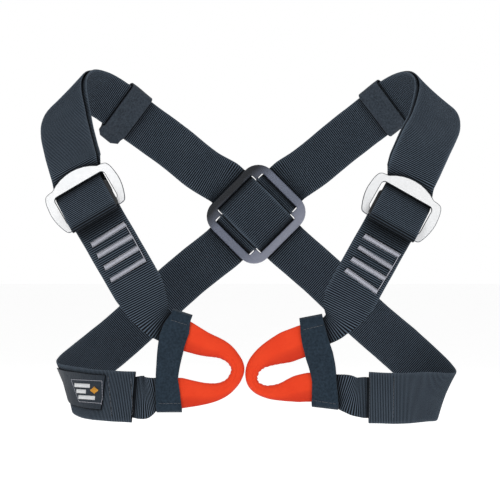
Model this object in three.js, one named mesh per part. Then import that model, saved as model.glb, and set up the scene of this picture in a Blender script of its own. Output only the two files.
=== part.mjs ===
// Climbing chest harness, in millimetres, +Z up, as it sits on a wearer who faces -Y.
// Left and right are the wearer's, so the wearer's right is at -X.
// The origin is on the middle plane, level with the straps on top of the shoulders.
import * as THREE from 'three';
import { mergeVertices } from 'three/addons/utils/BufferGeometryUtils.js';

// Overall form, which the route tables take their shares of
const HALF_WIDTH = 190;
const HALF_DEPTH = 110;
const HEIGHT = 320;

// Webbing
const WEBBING_WIDTH = 45;
const WEBBING_THICKNESS = 2;
const LOOP_WEBBING_WIDTH = 31;
const GAP = 0.3;

// Back plate, turned by 45 degrees, with one slot along each side
const PLATE_X = 6;
const PLATE_Z = -109;
const PLATE_MARGIN_RIGHT = 31;
const PLATE_MARGIN_LEFT = 37;
const PLATE_ACROSS_RIGHT = WEBBING_WIDTH + PLATE_MARGIN_RIGHT;
const PLATE_ACROSS_LEFT = WEBBING_WIDTH + PLATE_MARGIN_LEFT;
const PLATE_THICKNESS = 3;
const PLATE_RAIL = 8;
const RAIL_LEAD = 5.5;
const PLATE_SLOT = 7;
const PLATE_CORNER = 18;
const PLATE_BEVEL = 0.8;
const PLATE_TURN = 45;
const SLOT_END_CLEARANCE = 1.5;

// Buckle frame: a flat bell with a window for the webbing
const BUCKLE_THICKNESS = 3;
const BUCKLE_BEVEL = 0.6;
const BUCKLE_EAR = 9.2;
const BUCKLE_ARCH = 13.4;
const BUCKLE_WINDOW_HEIGHT = 27;
const BUCKLE_BOTTOM_BAR = 6;
const ARCH_LEAD = 2;
const WINDOW_SIDE_CLEARANCE = 2.4;
const WINDOW_CORNER = 3.5;
const BUCKLE_LEAN = 5;

// Slider: the small frame that the shoulder webbing is folded round
const SLIDER_THICKNESS = 2.2;
const SLIDER_SIDE_CLEARANCE = 0.9;
const SLIDER_BAR = 6;
const SLIDER_CORNER = 4;
const SLIDER_TOP = 6;
const SLOPE_TOP = 1;
const FOLD_LEAD = 4;
const FOLD_DROP = 31.9;
const WINDOW_SLOPE = 28.4;

// Small pieces
const KEEPER_WALL = 1.2;
const KEEPER_PLAY = 0.7;
const KEEPER_SIDE_PLAY = 1.7;
const TAB_LENGTH = 8;
const BAND_THICKNESS = 1.6;
const BAND_WIDTH = 24;
const LOOP_FLAT = 6;
const LOOP_ROUND = 12;
const DOUBLED_LENGTH = 62;
const SEWN_STRAIGHT = 72;
const LABEL_MARGIN = 15;
const LABEL_HEIGHT = WEBBING_WIDTH - LABEL_MARGIN;
const LABEL_THICKNESS = 0.8;
const LABEL_RAISE = 2.5;
const LOOP_WEBBING_START = 1.16;
const LOOP_LEAD = 4;
const TAIL_SLACK = 0.6;

// How finely curves are cut
const ROUTE_STEPS = 5;
const TURN_STEPS = 8;
const CORNER_STEPS = 4;
const LOOP_STEPS = 3;
const LOOP_SIDES = 16;
const FLAT_POWER = 3.2;
const ROUND_POWER = 2.2;
// Rows of the routes where the keepers and the label start, and how many steps the label covers
const KEEPER_ROW = 3;
const LABEL_ROW = 4;
const LABEL_STEPS = 9;
const TINY = 1e-6;

// Routes of the flat pieces. x, y and z are shares of HALF_WIDTH, HALF_DEPTH and HEIGHT.
// turn is the angle of the width line seen from the front, from upright towards +X,
// lean is its angle out of the front view, and wide is the share of the piece's width.

// From the back plate over the wearer's right shoulder to the buckle
const RIGHT_SHOULDER_ROUTE = [
  { x: -0.245, y: 0.985, z: -0.205, turn: 40, lean: 0 },
  { x: -0.382, y: 0.910, z: -0.140, turn: 38.5, lean: 0 },
  { x: -0.580, y: 0.709, z: -0.056, turn: 38, lean: 0 },
  { x: -0.667, y: 0.545, z: -0.016, turn: 37, lean: -4 },
  { x: -0.772, y: 0.382, z: 0.016, turn: 40, lean: -12 },
  { x: -0.866, y: 0.110, z: 0.019, turn: 44, lean: -22 },
  { x: -0.898, y: -0.110, z: -0.020, turn: 56, lean: -26 },
  { x: -0.882, y: -0.410, z: -0.098, turn: 80, lean: -18 },
  { x: -0.842, y: -0.660, z: -0.174, turn: 77, lean: -8 },
];

// From the back plate over the wearer's left shoulder to the buckle
const LEFT_SHOULDER_ROUTE = [
  { x: 0.311, y: 0.960, z: -0.196, turn: -40, lean: 0 },
  { x: 0.458, y: 0.864, z: -0.125, turn: -39, lean: 0 },
  { x: 0.633, y: 0.636, z: -0.046, turn: -38, lean: 0 },
  { x: 0.738, y: 0.455, z: 0.000, turn: -37, lean: -6 },
  { x: 0.850, y: 0.190, z: 0.020, turn: -42, lean: -20 },
  { x: 0.906, y: -0.040, z: -0.010, turn: -56, lean: -24 },
  { x: 0.885, y: -0.380, z: -0.085, turn: -74, lean: -14, wide: 1.03 },
  { x: 0.824, y: -0.630, z: -0.150, turn: -71, lean: -6, wide: 1.05 },
  { x: 0.768, y: -0.790, z: -0.215, turn: -66, lean: -3, wide: 1.05 },
];

// From the back plate round the wearer's right side to the end of the chest strap
const RIGHT_SIDE_ROUTE = [
  { x: -0.329, y: 0.955, z: -0.532, turn: -44, lean: 0 },
  { x: -0.647, y: 0.680, z: -0.705, turn: -43, lean: 0 },
  { x: -0.792, y: 0.380, z: -0.777, turn: -42, lean: 0 },
  { x: -0.893, y: 0.000, z: -0.836, turn: -20, lean: 0 },
  { x: -0.785, y: -0.430, z: -0.851, turn: -6, lean: 14 },
  { x: -0.652, y: -0.700, z: -0.852, turn: 0, lean: 14 },
  { x: -0.535, y: -0.860, z: -0.851, turn: 0, lean: 10 },
];

// From the back plate round the wearer's left side to the end of the chest strap
const LEFT_SIDE_ROUTE = [
  { x: 0.395, y: 0.955, z: -0.542, turn: 43, lean: 0 },
  { x: 0.586, y: 0.700, z: -0.654, turn: 43, lean: 0 },
  { x: 0.791, y: 0.364, z: -0.762, turn: 41, lean: 0 },
  { x: 0.946, y: 0.000, z: -0.863, turn: 23, lean: 0 },
  { x: 0.829, y: -0.380, z: -0.863, turn: 3, lean: 6 },
  { x: 0.699, y: -0.670, z: -0.860, turn: 0, lean: 4 },
  { x: 0.547, y: -0.880, z: -0.852, turn: 0, lean: 5 },
];

// From the buckle down to the loop band
const RIGHT_FRONT_ROUTE = [
  { x: -0.460, y: -1.000, z: -0.612, turn: 58, lean: 0, wide: 0.82 },
  { x: -0.428, y: -1.000, z: -0.641, turn: 43, lean: 0, wide: 0.64 },
  { x: -0.388, y: -1.000, z: -0.659, turn: 27, lean: 0, wide: 0.58 },
];

const LEFT_FRONT_ROUTE = [
  { x: 0.429, y: -1.000, z: -0.613, turn: -56, lean: 0, wide: 0.88 },
  { x: 0.394, y: -1.000, z: -0.650, turn: -41, lean: 0, wide: 0.57 },
  { x: 0.343, y: -1.000, z: -0.671, turn: -26, lean: 0, wide: 0.50 },
];

// From behind the chest strap's end to the lower arm of the tie loop
const RIGHT_LOOP_WEBBING_ROUTE = [
  { x: -0.478, y: -0.915, z: -0.850, turn: 0, lean: 6, wide: 1.04 },
  { x: -0.430, y: -0.990, z: -0.837, turn: 0, lean: 0, wide: 0.85 },
];

const LEFT_LOOP_WEBBING_ROUTE = [
  { x: 0.478, y: -0.950, z: -0.847, turn: 0, lean: 4, wide: 1.08 },
  { x: 0.420, y: -0.995, z: -0.832, turn: 0, lean: 0, wide: 0.87 },
];

// Tie loops, from the upper arm round the tip to the lower arm. x and z are shares of HALF_WIDTH
// and HEIGHT, wide is the share of WEBBING_WIDTH, and round runs from flat, 0, to folded up, 1.
const RIGHT_LOOP_ROUTE = [
  { x: -0.342, z: -0.671, turn: 18, wide: 0.58, round: 0 },
  { x: -0.296, z: -0.682, turn: 15, wide: 0.60, round: 0 },
  { x: -0.209, z: -0.704, turn: 20, wide: 0.48, round: 0.4 },
  { x: -0.125, z: -0.720, turn: 29, wide: 0.36, round: 0.8 },
  { x: -0.079, z: -0.742, turn: 47, wide: 0.28, round: 1 },
  { x: -0.056, z: -0.768, turn: 78, wide: 0.27, round: 1 },
  { x: -0.063, z: -0.790, turn: 104, wide: 0.26, round: 1 },
  { x: -0.089, z: -0.813, turn: 135, wide: 0.26, round: 1 },
  { x: -0.134, z: -0.830, turn: 157, wide: 0.32, round: 0.8 },
  { x: -0.203, z: -0.838, turn: 170, wide: 0.42, round: 0.4 },
  { x: -0.310, z: -0.837, turn: 173, wide: 0.60, round: 0 },
  { x: -0.352, z: -0.836, turn: 176, wide: 0.59, round: 0 },
];

const LEFT_LOOP_ROUTE = [
  { x: 0.292, z: -0.683, turn: -12, wide: 0.58, round: 0 },
  { x: 0.244, z: -0.695, turn: -12, wide: 0.62, round: 0 },
  { x: 0.164, z: -0.713, turn: -18, wide: 0.62, round: 0.2 },
  { x: 0.091, z: -0.731, turn: -22, wide: 0.48, round: 0.5 },
  { x: 0.041, z: -0.750, turn: -34, wide: 0.36, round: 0.8 },
  { x: 0.014, z: -0.772, turn: -56, wide: 0.29, round: 1 },
  { x: 0.008, z: -0.798, turn: -86, wide: 0.24, round: 1 },
  { x: 0.022, z: -0.817, turn: -116, wide: 0.22, round: 1 },
  { x: 0.068, z: -0.832, turn: -154, wide: 0.24, round: 1 },
  { x: 0.137, z: -0.834, turn: -178, wide: 0.34, round: 0.7 },
  { x: 0.209, z: -0.826, turn: -182, wide: 0.52, round: 0.3 },
  { x: 0.268, z: -0.821, turn: -181, wide: 0.57, round: 0 },
  { x: 0.315, z: -0.821, turn: -178, wide: 0.56, round: 0 },
];

// Front run of the loop bands, from top to bottom. wide is the share of BAND_WIDTH.
const RIGHT_BAND_ROUTE = [
  { x: -0.314, z: -0.631, turn: 108, wide: 0.74 },
  { x: -0.334, z: -0.662, turn: 110, wide: 0.98 },
  { x: -0.352, z: -0.692, turn: 106, wide: 0.98 },
  { x: -0.364, z: -0.727, turn: 100, wide: 0.92 },
  { x: -0.373, z: -0.764, turn: 95, wide: 0.84 },
  { x: -0.378, z: -0.796, turn: 91, wide: 0.80 },
  { x: -0.374, z: -0.834, turn: 90, wide: 0.88 },
  { x: -0.369, z: -0.874, turn: 90, wide: 0.92 },
];

const LEFT_BAND_ROUTE = [
  { x: 0.280, z: -0.643, turn: 79, wide: 0.84 },
  { x: 0.287, z: -0.670, turn: 80, wide: 0.92 },
  { x: 0.298, z: -0.700, turn: 78, wide: 0.96 },
  { x: 0.316, z: -0.736, turn: 79, wide: 1.00 },
  { x: 0.331, z: -0.772, turn: 84, wide: 0.94 },
  { x: 0.337, z: -0.804, turn: 87, wide: 0.88 },
  { x: 0.339, z: -0.834, turn: 92, wide: 0.92 },
  { x: 0.341, z: -0.863, turn: 97, wide: 0.96 },
];

// What differs between the wearer's two sides. side is -1 on the right and 1 on the left.
// shift is how far the webbing sits outwards in the buckle, and arch the same above its top bar.
// tail is how far the webbing's tail shows beside it, and keeper how many steps the keeper covers.
const SIDES = {
  right: {
    side: -1,
    layer: 1,
    across: PLATE_ACROSS_RIGHT,
    shoulder: RIGHT_SHOULDER_ROUTE,
    body: LEFT_SIDE_ROUTE,
    front: RIGHT_FRONT_ROUTE,
    loopWebbing: RIGHT_LOOP_WEBBING_ROUTE,
    loop: RIGHT_LOOP_ROUTE,
    band: RIGHT_BAND_ROUTE,
    buckle: { x: -0.787, y: -0.890, z: -0.273, turn: 30.4, shift: 1.8, arch: -4 },
    tail: { buckle: 3.2, crest: 4.2, keeper: 0 },
    keeper: 5,
    tab: true,
  },
  left: {
    side: 1,
    layer: 0,
    across: PLATE_ACROSS_LEFT,
    shoulder: LEFT_SHOULDER_ROUTE,
    body: RIGHT_SIDE_ROUTE,
    front: LEFT_FRONT_ROUTE,
    loopWebbing: LEFT_LOOP_WEBBING_ROUTE,
    loop: LEFT_LOOP_ROUTE,
    band: LEFT_BAND_ROUTE,
    buckle: { x: 0.724, y: -0.890, z: -0.299, turn: 29.5, shift: 1.4, arch: -4.8 },
    tail: { buckle: 0.6, crest: 3.4, keeper: 0 },
    keeper: 4,
    tab: false,
  },
};

const MATERIALS = {
  webbing: { color: 0x2b343f, roughness: 0.75, metalness: 0 },
  elastic: { color: 0x1d2c3a, roughness: 0.85, metalness: 0 },
  keeper: { color: 0x3b424c, roughness: 0.9, metalness: 0 },
  sleeve: { color: 0xe84420, roughness: 0.6, metalness: 0 },
  plate: { color: 0x3c3d49, roughness: 0.35, metalness: 0 },
  alloy: { color: 0xdfe2e6, roughness: 0.3, metalness: 1 },
  slider: { color: 0x111318, roughness: 0.45, metalness: 0.6 },
  label: { color: 0x20262e, roughness: 0.8, metalness: 0 },
};

const harness = new THREE.Group();

function addPiece(name, geometry, material, matrix) {
  const piece = new THREE.Mesh(geometry, new THREE.MeshStandardMaterial(MATERIALS[material]));
  piece.name = name;
  if (matrix) {
    piece.applyMatrix4(matrix);
  }
  harness.add(piece);
}

const radians = THREE.MathUtils.degToRad;

// The unit line across a flat piece, from its two angles
function widthLine(turn, lean = 0) {
  const flat = Math.cos(radians(lean));
  return new THREE.Vector3(
    Math.sin(radians(turn)) * flat,
    Math.sin(radians(lean)),
    Math.cos(radians(turn)) * flat,
  );
}

function rowPoint(row, y = row.y * HALF_DEPTH) {
  return new THREE.Vector3(row.x * HALF_WIDTH, y, row.z * HEIGHT);
}

// A station of a flat piece: its middle, the line across it, its width
function station(middle, across, width) {
  return { middle, across, width };
}

function routeStations(route, fullWidth) {
  return route.map((row) => {
    const width = fullWidth * (row.wide ?? 1);
    return station(rowPoint(row), widthLine(row.turn, row.lean), width);
  });
}

// Smooth stations through the given ones, with the given steps between each two
function smooth(stations, steps = ROUTE_STEPS) {
  const middles = new THREE.CatmullRomCurve3(stations.map((s) => s.middle));
  const lines = new THREE.CatmullRomCurve3(stations.map((s) => s.across), false, 'catmullrom');
  const last = stations.length - 1;
  const result = [];
  for (let step = 0; step <= last * steps; step += 1) {
    const share = step / (last * steps);
    const index = Math.min(Math.floor(step / steps), last - 1);
    const between = step / steps - index;
    const width = THREE.MathUtils.lerp(stations[index].width, stations[index + 1].width, between);
    result.push(station(middles.getPoint(share), lines.getPoint(share).normalize(), width));
  }
  return result;
}

// Squares each station's line to its route, unless it is held, and finds the face direction and
// the mitre there
function frames(stations, closed = false) {
  const count = stations.length;
  return stations.map((current, index) => {
    const before = stations[closed ? (index + count - 1) % count : Math.max(index - 1, 0)];
    const after = stations[closed ? (index + 1) % count : Math.min(index + 1, count - 1)];
    const intoHere = current.middle.clone().sub(before.middle).normalize();
    const outOfHere = after.middle.clone().sub(current.middle).normalize();
    const along = intoHere.clone().add(outOfHere).normalize();
    const slant = current.held ? 0 : current.across.dot(along);
    const across = current.across.clone().addScaledVector(along, -slant).normalize();
    const face = across.clone().cross(along).normalize();
    const bend = Math.max(intoHere.dot(outOfHere), -0.2);
    const single = intoHere.lengthSq() < TINY || outOfHere.lengthSq() < TINY;
    const mitre = single ? 1 : 1 / Math.sqrt((1 + bend) / 2);
    return { ...current, across, along, face, mitre };
  });
}

// The same stations, moved towards their face and along their line, each by a function of the share
function shifted(list, towardsFace, alongLine = () => 0) {
  return list.map((frame, index) => {
    const share = index / (list.length - 1);
    const middle = frame.middle.clone().addScaledVector(frame.face, towardsFace(share) * frame.mitre);
    middle.addScaledVector(frame.across, alongLine(share));
    return { ...station(middle, frame.across, frame.width), held: true };
  });
}

// A closed body through rings of points, with flat ends unless the rings close on themselves.
// crossed tells which faces, by ring and side, are split along the other diagonal.
function skin(rings, closed = false, crossed = () => false) {
  const sides = rings[0].length;
  const positions = rings.flat().flatMap((point) => [point.x, point.y, point.z]);
  const indices = [];
  const last = closed ? rings.length : rings.length - 1;
  for (let ring = 0; ring < last; ring += 1) {
    const here = ring * sides;
    const next = ((ring + 1) % rings.length) * sides;
    for (let side = 0; side < sides; side += 1) {
      const beside = (side + 1) % sides;
      const [a, b, c, d] = [here + side, next + side, next + beside, here + beside];
      indices.push(...(crossed(ring, side) ? [a, b, d, b, c, d] : [a, b, c, a, c, d]));
    }
  }
  if (!closed) {
    const end = (rings.length - 1) * sides;
    for (let side = 1; side < sides - 1; side += 1) {
      indices.push(0, side, side + 1, end, end + side + 1, end + side);
    }
  }
  const geometry = new THREE.BufferGeometry();
  geometry.setAttribute('position', new THREE.Float32BufferAttribute(positions, 3));
  geometry.setIndex(volume(positions, indices) < 0 ? indices.reverse() : indices);
  return mergeVertices(geometry, TINY);
}

function volume(positions, indices) {
  const corner = (index) => new THREE.Vector3().fromArray(positions, index * 3);
  let total = 0;
  for (let index = 0; index < indices.length; index += 3) {
    const [a, b, c] = [corner(indices[index]), corner(indices[index + 1]), corner(indices[index + 2])];
    total += a.dot(b.cross(c)) / 6;
  }
  return total;
}

// Which sides of a strip's rings are its wide faces
const BOTTOM_FACE = 1;
const TOP_FACE = 3;

// A strip of constant thickness along its stations. Both wide faces are split alike, so that a
// twist keeps it as thick, and the other way from the station where it starts to run back, so that
// its two runs stay parallel.
function strip(stations, thickness, closed = false, runsBack = stations.length) {
  const corners = [[1, 1], [1, -1], [-1, -1], [-1, 1]];
  const rings = frames(stations, closed).map((frame) => corners.map(([edge, face]) => frame.middle.clone()
    .addScaledVector(frame.across, edge * frame.width / 2)
    .addScaledVector(frame.face, face * frame.mitre * thickness / 2)));
  return skin(rings, closed, (ring, side) => side === (ring < runsBack ? BOTTOM_FACE : TOP_FACE));
}

// A sleeve round the frames. Both outlines give [across, face] points for a share along it.
function sleeve(list, innerOutline, outerOutline) {
  const place = (frame, [edge, face]) => frame.middle.clone()
    .addScaledVector(frame.across, edge)
    .addScaledVector(frame.face, face);
  const share = (index) => index / (list.length - 1);
  const outer = list.map((frame, index) => outerOutline(share(index)).map((point) => place(frame, point)));
  const inner = list.map((frame, index) => innerOutline(share(index)).map((point) => place(frame, point)));
  const rings = outer[0].map((_, corner) => [
    ...outer.map((points) => points[corner]),
    ...inner.map((points) => points[corner]).reverse(),
  ]);
  // At the ends the faces are split so that none leaves the hollow sides of a tab
  const tip = rings.length - TURN_STEPS / 2 - 1;
  const last = list.length - 1;
  const crossed = (ring, side) => side % list.length === last && (side === last) === (ring >= tip);
  return skin(rings, true, crossed);
}

// A flat loop with round ends, of the given width and depth. endPoints replaces its lower end.
function flatOutline(width, depth, endPoints) {
  const bend = depth / 2;
  const points = [];
  for (let step = 0; step <= TURN_STEPS; step += 1) {
    const angle = Math.PI * (step / TURN_STEPS - 0.5);
    points.push([width / 2 - bend + bend * Math.cos(angle), bend * Math.sin(angle)]);
  }
  const lower = endPoints ?? points.map(([edge, face]) => [-edge, -face]);
  return [...points, ...lower];
}

// The lower end of a keeper, drawn out to a tab that is thin and round at its corners
function tabEnd(width, depth, share) {
  const corner = Math.sqrt(Math.max(1 - (2 * share - 1) ** 6, 0));
  const length = TAB_LENGTH * (0.55 + 0.45 * corner);
  const half = KEEPER_WALL;
  const base = width / 2;
  const quarter = [
    [base - depth / 2, depth / 2],
    [base - depth / 8, depth / 4],
    [base + half / 2, half],
    [base + length - half / 2, half],
  ];
  const mirrored = quarter.map(([edge, face]) => [-edge, -face]).reverse();
  return [...quarter.map(([edge, face]) => [-edge, face]), [-(base + length), 0], ...mirrored];
}

// Back plate, in whose own plane x runs across the right shoulder's slots and y across the left one's

const WEBBING_STEP = WEBBING_THICKNESS + GAP;
const PLATE_BACK = -(PLATE_THICKNESS / 2 + GAP + WEBBING_THICKNESS / 2);
const slotLength = WEBBING_WIDTH + 2 * SLOT_END_CLEARANCE;

function roundedRectangle(path, halfWidth, halfHeight, radius, middleX = 0, middleY = 0) {
  const right = middleX + halfWidth;
  const left = middleX - halfWidth;
  const top = middleY + halfHeight;
  const bottom = middleY - halfHeight;
  path.moveTo(right, bottom + radius);
  path.lineTo(right, top - radius);
  path.absarc(right - radius, top - radius, radius, 0, Math.PI / 2);
  path.lineTo(left + radius, top);
  path.absarc(left + radius, top - radius, radius, Math.PI / 2, Math.PI);
  path.lineTo(left, bottom + radius);
  path.absarc(left + radius, bottom + radius, radius, Math.PI, 1.5 * Math.PI);
  path.lineTo(right - radius, bottom);
  path.absarc(right - radius, bottom + radius, radius, 1.5 * Math.PI, 2 * Math.PI);
  path.closePath();
  return path;
}

function bevelledPlate(shape, thickness, bevel) {
  const geometry = new THREE.ExtrudeGeometry(shape, {
    depth: thickness - 2 * bevel,
    bevelThickness: bevel,
    bevelSize: bevel,
    bevelOffset: -bevel,
    bevelSegments: 1,
    curveSegments: CORNER_STEPS,
  });
  geometry.translate(0, 0, bevel - thickness / 2);
  return geometry;
}

function addBackPlate() {
  const halfX = PLATE_ACROSS_RIGHT / 2;
  const halfY = PLATE_ACROSS_LEFT / 2;
  const shape = roundedRectangle(new THREE.Shape(), halfX, halfY, PLATE_CORNER);
  const slotRadius = PLATE_SLOT / 4;
  for (const end of [-1, 1]) {
    const across = end * (halfX - PLATE_RAIL - PLATE_SLOT / 2);
    const up = end * (halfY - PLATE_RAIL - PLATE_SLOT / 2);
    const [narrow, long] = [PLATE_SLOT / 2, slotLength / 2];
    shape.holes.push(roundedRectangle(new THREE.Path(), narrow, long, slotRadius, across, 0));
    shape.holes.push(roundedRectangle(new THREE.Path(), long, narrow, slotRadius, 0, up));
  }
  const turned = new THREE.Matrix4().makeRotationY(radians(PLATE_TURN));
  turned.multiply(new THREE.Matrix4().makeRotationX(Math.PI / 2)).setPosition(PLATE_X, HALF_DEPTH, PLATE_Z);
  addPiece('back_plate', bevelledPlate(shape, PLATE_THICKNESS, PLATE_BEVEL), 'plate', turned);
}

// Where webbing climbs through a slot: the bends that clear the rail and what lies on the panel
function slotBends({ across, layer }) {
  const rail = across / 2 - PLATE_RAIL - GAP;
  const panelEdge = across / 2 - PLATE_RAIL - PLATE_SLOT;
  const panel = (layer > 0 ? Math.max(WEBBING_WIDTH / 2, panelEdge) : panelEdge) + GAP;
  const front = -PLATE_BACK + layer * WEBBING_STEP;
  let climb = Math.PI / 4;
  for (let round = 0; round < TURN_STEPS; round += 1) {
    climb = Math.atan2(front - PLATE_BACK, rail - panel - WEBBING_THICKNESS * Math.tan(climb / 2));
  }
  const bend = WEBBING_THICKNESS / 2 * Math.tan(climb / 2);
  return { outer: rail - bend, inner: panel + bend, front };
}

// along runs towards the shoulder, and height towards the wearer
function plateStation(side, along, height) {
  const turn = radians(PLATE_TURN) * side.side;
  const middle = new THREE.Vector3(
    PLATE_X + along * Math.sin(turn),
    HALF_DEPTH - height,
    PLATE_Z + along * Math.cos(turn),
  );
  return station(middle, widthLine(-side.side * PLATE_TURN), WEBBING_WIDTH);
}

const behindRail = (side) => side.across / 2 - PLATE_RAIL / 2;
const pastRail = (side) => side.across / 2 + RAIL_LEAD;

// Stations over the plate, from behind the lower rail to behind the shoulder's rail
function plateStations(side) {
  const { outer, inner, front } = slotBends(side);
  const rows = [
    [-behindRail(side), PLATE_BACK],
    [-outer, PLATE_BACK],
    [-inner, front],
    [inner, front],
    [outer, PLATE_BACK],
  ];
  return rows.map(([along, height]) => plateStation(side, along, height));
}

// Buckles. In a buckle's own frame x runs along the top bar towards +X, y up the webbing and z
// towards the front, and its origin is the middle of the window's top edge.

const windowHalf = WEBBING_WIDTH / 2 + WINDOW_SIDE_CLEARANCE;
const BAR_BACK = -(BUCKLE_THICKNESS / 2 + GAP + WEBBING_THICKNESS / 2);
const FOLD_RADIUS = (SLIDER_THICKNESS + WEBBING_THICKNESS) / 2 + GAP;
const downSlope = { up: -Math.cos(radians(WINDOW_SLOPE)), front: Math.sin(radians(WINDOW_SLOPE)) };
const offSlope = { up: downSlope.front, front: -downSlope.up };
const slopeLength = (FOLD_DROP - SLOPE_TOP) / -downSlope.up;

function buckleMatrix({ buckle, side }) {
  const alongBar = widthLine(90 + side * buckle.turn);
  const up = widthLine(side * buckle.turn, BUCKLE_LEAN);
  const forward = alongBar.clone().cross(up);
  return new THREE.Matrix4().makeBasis(alongBar, up, forward).setPosition(rowPoint(buckle));
}

// A station of webbing in a buckle: out is how far it lies towards the shoulder's outer side
function buckleStation(side, up, front, out = 0) {
  const middle = new THREE.Vector3(side.side * out, up, front).applyMatrix4(buckleMatrix(side));
  const across = widthLine(90 + side.side * side.buckle.turn).multiplyScalar(-side.side);
  return { ...station(middle, across, WEBBING_WIDTH), held: true };
}

// Outline of the bell: arched top bar, a notch at each end of it, and ears that taper downwards
function buckleOutline() {
  const half = windowHalf + BUCKLE_EAR;
  const bottom = -(BUCKLE_WINDOW_HEIGHT + BUCKLE_BOTTOM_BAR);
  const notch = { x: 0.905 * windowHalf, y: 0.478 * BUCKLE_ARCH };
  const rise = BUCKLE_ARCH - notch.y;
  const archRadius = (notch.x ** 2 + rise ** 2) / (2 * rise);
  const archAngle = Math.asin(notch.x / archRadius);
  // From the right notch to the bottom, as shares of half and of bottom, or of the arch above it
  const ear = [
    { x: 0.86, y: -0.16 }, { x: 0.95, y: -0.03 }, { x: 0.99, y: 0.20 }, { x: 1, y: 0.40 },
    { x: 0.97, y: 0.62 }, { x: 0.90, y: 0.85 }, { x: 0.83, y: 0.97 }, { x: 0.72, y: 1 },
  ];
  const earCurve = (sign) => ear.map(({ x, y }) => new THREE.Vector2(sign * x * half, y * bottom));
  const shape = new THREE.Shape();
  shape.absarc(0, BUCKLE_ARCH - archRadius, archRadius, Math.PI / 2 - archAngle, Math.PI / 2 + archAngle);
  shape.splineThru(earCurve(-1));
  const last = earCurve(1).reverse();
  shape.lineTo(last[0].x, last[0].y);
  shape.splineThru([...last.slice(1), new THREE.Vector2(notch.x, notch.y)]);
  const middle = BUCKLE_WINDOW_HEIGHT / 2;
  shape.holes.push(roundedRectangle(new THREE.Path(), windowHalf, middle, WINDOW_CORNER, 0, -middle));
  return shape;
}

function addBuckleFrame(name, side) {
  const geometry = bevelledPlate(buckleOutline(), BUCKLE_THICKNESS, BUCKLE_BEVEL);
  addPiece(`buckle_frame_${name}`, geometry, 'alloy', buckleMatrix(side));
}

// Middle of the fold, at the lower end of the slider
const foldMiddle = {
  up: -SLOPE_TOP + slopeLength * downSlope.up - FOLD_RADIUS * offSlope.up,
  front: BAR_BACK + slopeLength * downSlope.front - FOLD_RADIUS * offSlope.front,
};

function addSlider(name, side) {
  const bevel = SLIDER_THICKNESS / 4;
  const length = (FOLD_DROP - SLIDER_TOP) / -downSlope.up + bevel;
  const half = WEBBING_WIDTH / 2 + SLIDER_SIDE_CLEARANCE;
  const shape = roundedRectangle(new THREE.Shape(), half, length / 2, SLIDER_CORNER);
  const [inWidth, inLength] = [half - SLIDER_BAR, length / 2 - SLIDER_BAR];
  shape.holes.push(roundedRectangle(new THREE.Path(), inWidth, inLength, WINDOW_CORNER / 2));
  const geometry = bevelledPlate(shape, SLIDER_THICKNESS, bevel);
  geometry.translate(0, length / 2 - bevel, 0);
  const tilt = new THREE.Matrix4().makeRotationX(-radians(WINDOW_SLOPE));
  tilt.setPosition(0, foldMiddle.up, foldMiddle.front);
  addPiece(`buckle_slider_${name}`, geometry, 'slider', buckleMatrix(side).multiply(tilt));
}

// Webbing from the top of the window down the slope, round the slider and back up behind it.
// The part behind lies nearer the neck, so it shows beside the part in front.
function foldStations(side) {
  const out = side.buckle.shift;
  const rows = [{ up: -SLOPE_TOP, front: BAR_BACK, out }];
  for (let step = 0; step <= TURN_STEPS; step += 1) {
    const angle = Math.PI * step / TURN_STEPS;
    const off = FOLD_RADIUS * Math.cos(angle);
    const down = FOLD_RADIUS * Math.sin(angle);
    rows.push({
      up: foldMiddle.up + off * offSlope.up + down * downSlope.up,
      front: foldMiddle.front + off * offSlope.front + down * downSlope.front,
      out,
    });
  }
  const turned = rows[rows.length - 1];
  const beside = out - side.tail.buckle;
  const climbs = [[FOLD_LEAD, out], [slopeLength / 2, beside], [slopeLength - SLOPE_TOP, beside]];
  for (const [climb, sideways] of climbs) {
    rows.push({
      up: turned.up - climb * downSlope.up,
      front: turned.front - climb * downSlope.front,
      out: sideways,
    });
  }
  rows.push({ up: SLIDER_TOP / 2, front: BAR_BACK - WEBBING_STEP, out: beside });
  rows.push({
    up: BUCKLE_ARCH + ARCH_LEAD / 2,
    front: BAR_BACK - GAP - WEBBING_STEP - TAIL_SLACK,
    out: side.buckle.arch - side.tail.buckle,
  });
  return rows.map((row) => buckleStation(side, row.up, row.front, row.out));
}

// Shoulder webbing: over the plate and the shoulder, through the buckle, and its tail back up

const leavesPlate = (side) => plateStation(side, pastRail(side), PLATE_BACK);
const reachesBuckle = (side) => (
  buckleStation(side, BUCKLE_ARCH + ARCH_LEAD, BAR_BACK - GAP, side.buckle.arch)
);

function shoulderFrames(side) {
  const over = routeStations(side.shoulder, WEBBING_WIDTH);
  return frames(smooth([leavesPlate(side), ...over, reachesBuckle(side)]));
}

const keeperStart = KEEPER_ROW * ROUTE_STEPS;
const towardsWearer = (side) => -side.side * WEBBING_STEP;

// The tail lies looser between the keeper and the buckle
function tailStations(side, over) {
  const { buckle, crest, keeper } = side.tail;
  const held = over.slice(keeperStart + 1);
  const sideways = (share) => (share < 0.4
    ? THREE.MathUtils.lerp(keeper, crest, Math.max(share - 0.15, 0) / 0.25)
    : THREE.MathUtils.lerp(crest, buckle, (share - 0.4) / 0.6));
  const slack = (share) => TAIL_SLACK * Math.min(Math.max(share - 0.15, 0) / 0.1, 1);
  return shifted(held, (share) => towardsWearer(side) - side.side * slack(share), sideways)
    .reverse()
    .slice(1);
}

function addShoulderWebbing(name, side) {
  const over = shoulderFrames(side);
  const upper = [...plateStations(side), leavesPlate(side), ...over.slice(1, -1), reachesBuckle(side)];
  const route = [...upper, ...foldStations(side), ...tailStations(side, over)];
  addPiece(`shoulder_webbing_${name}`, strip(route, WEBBING_THICKNESS, false, upper.length), 'webbing');
}

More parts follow.
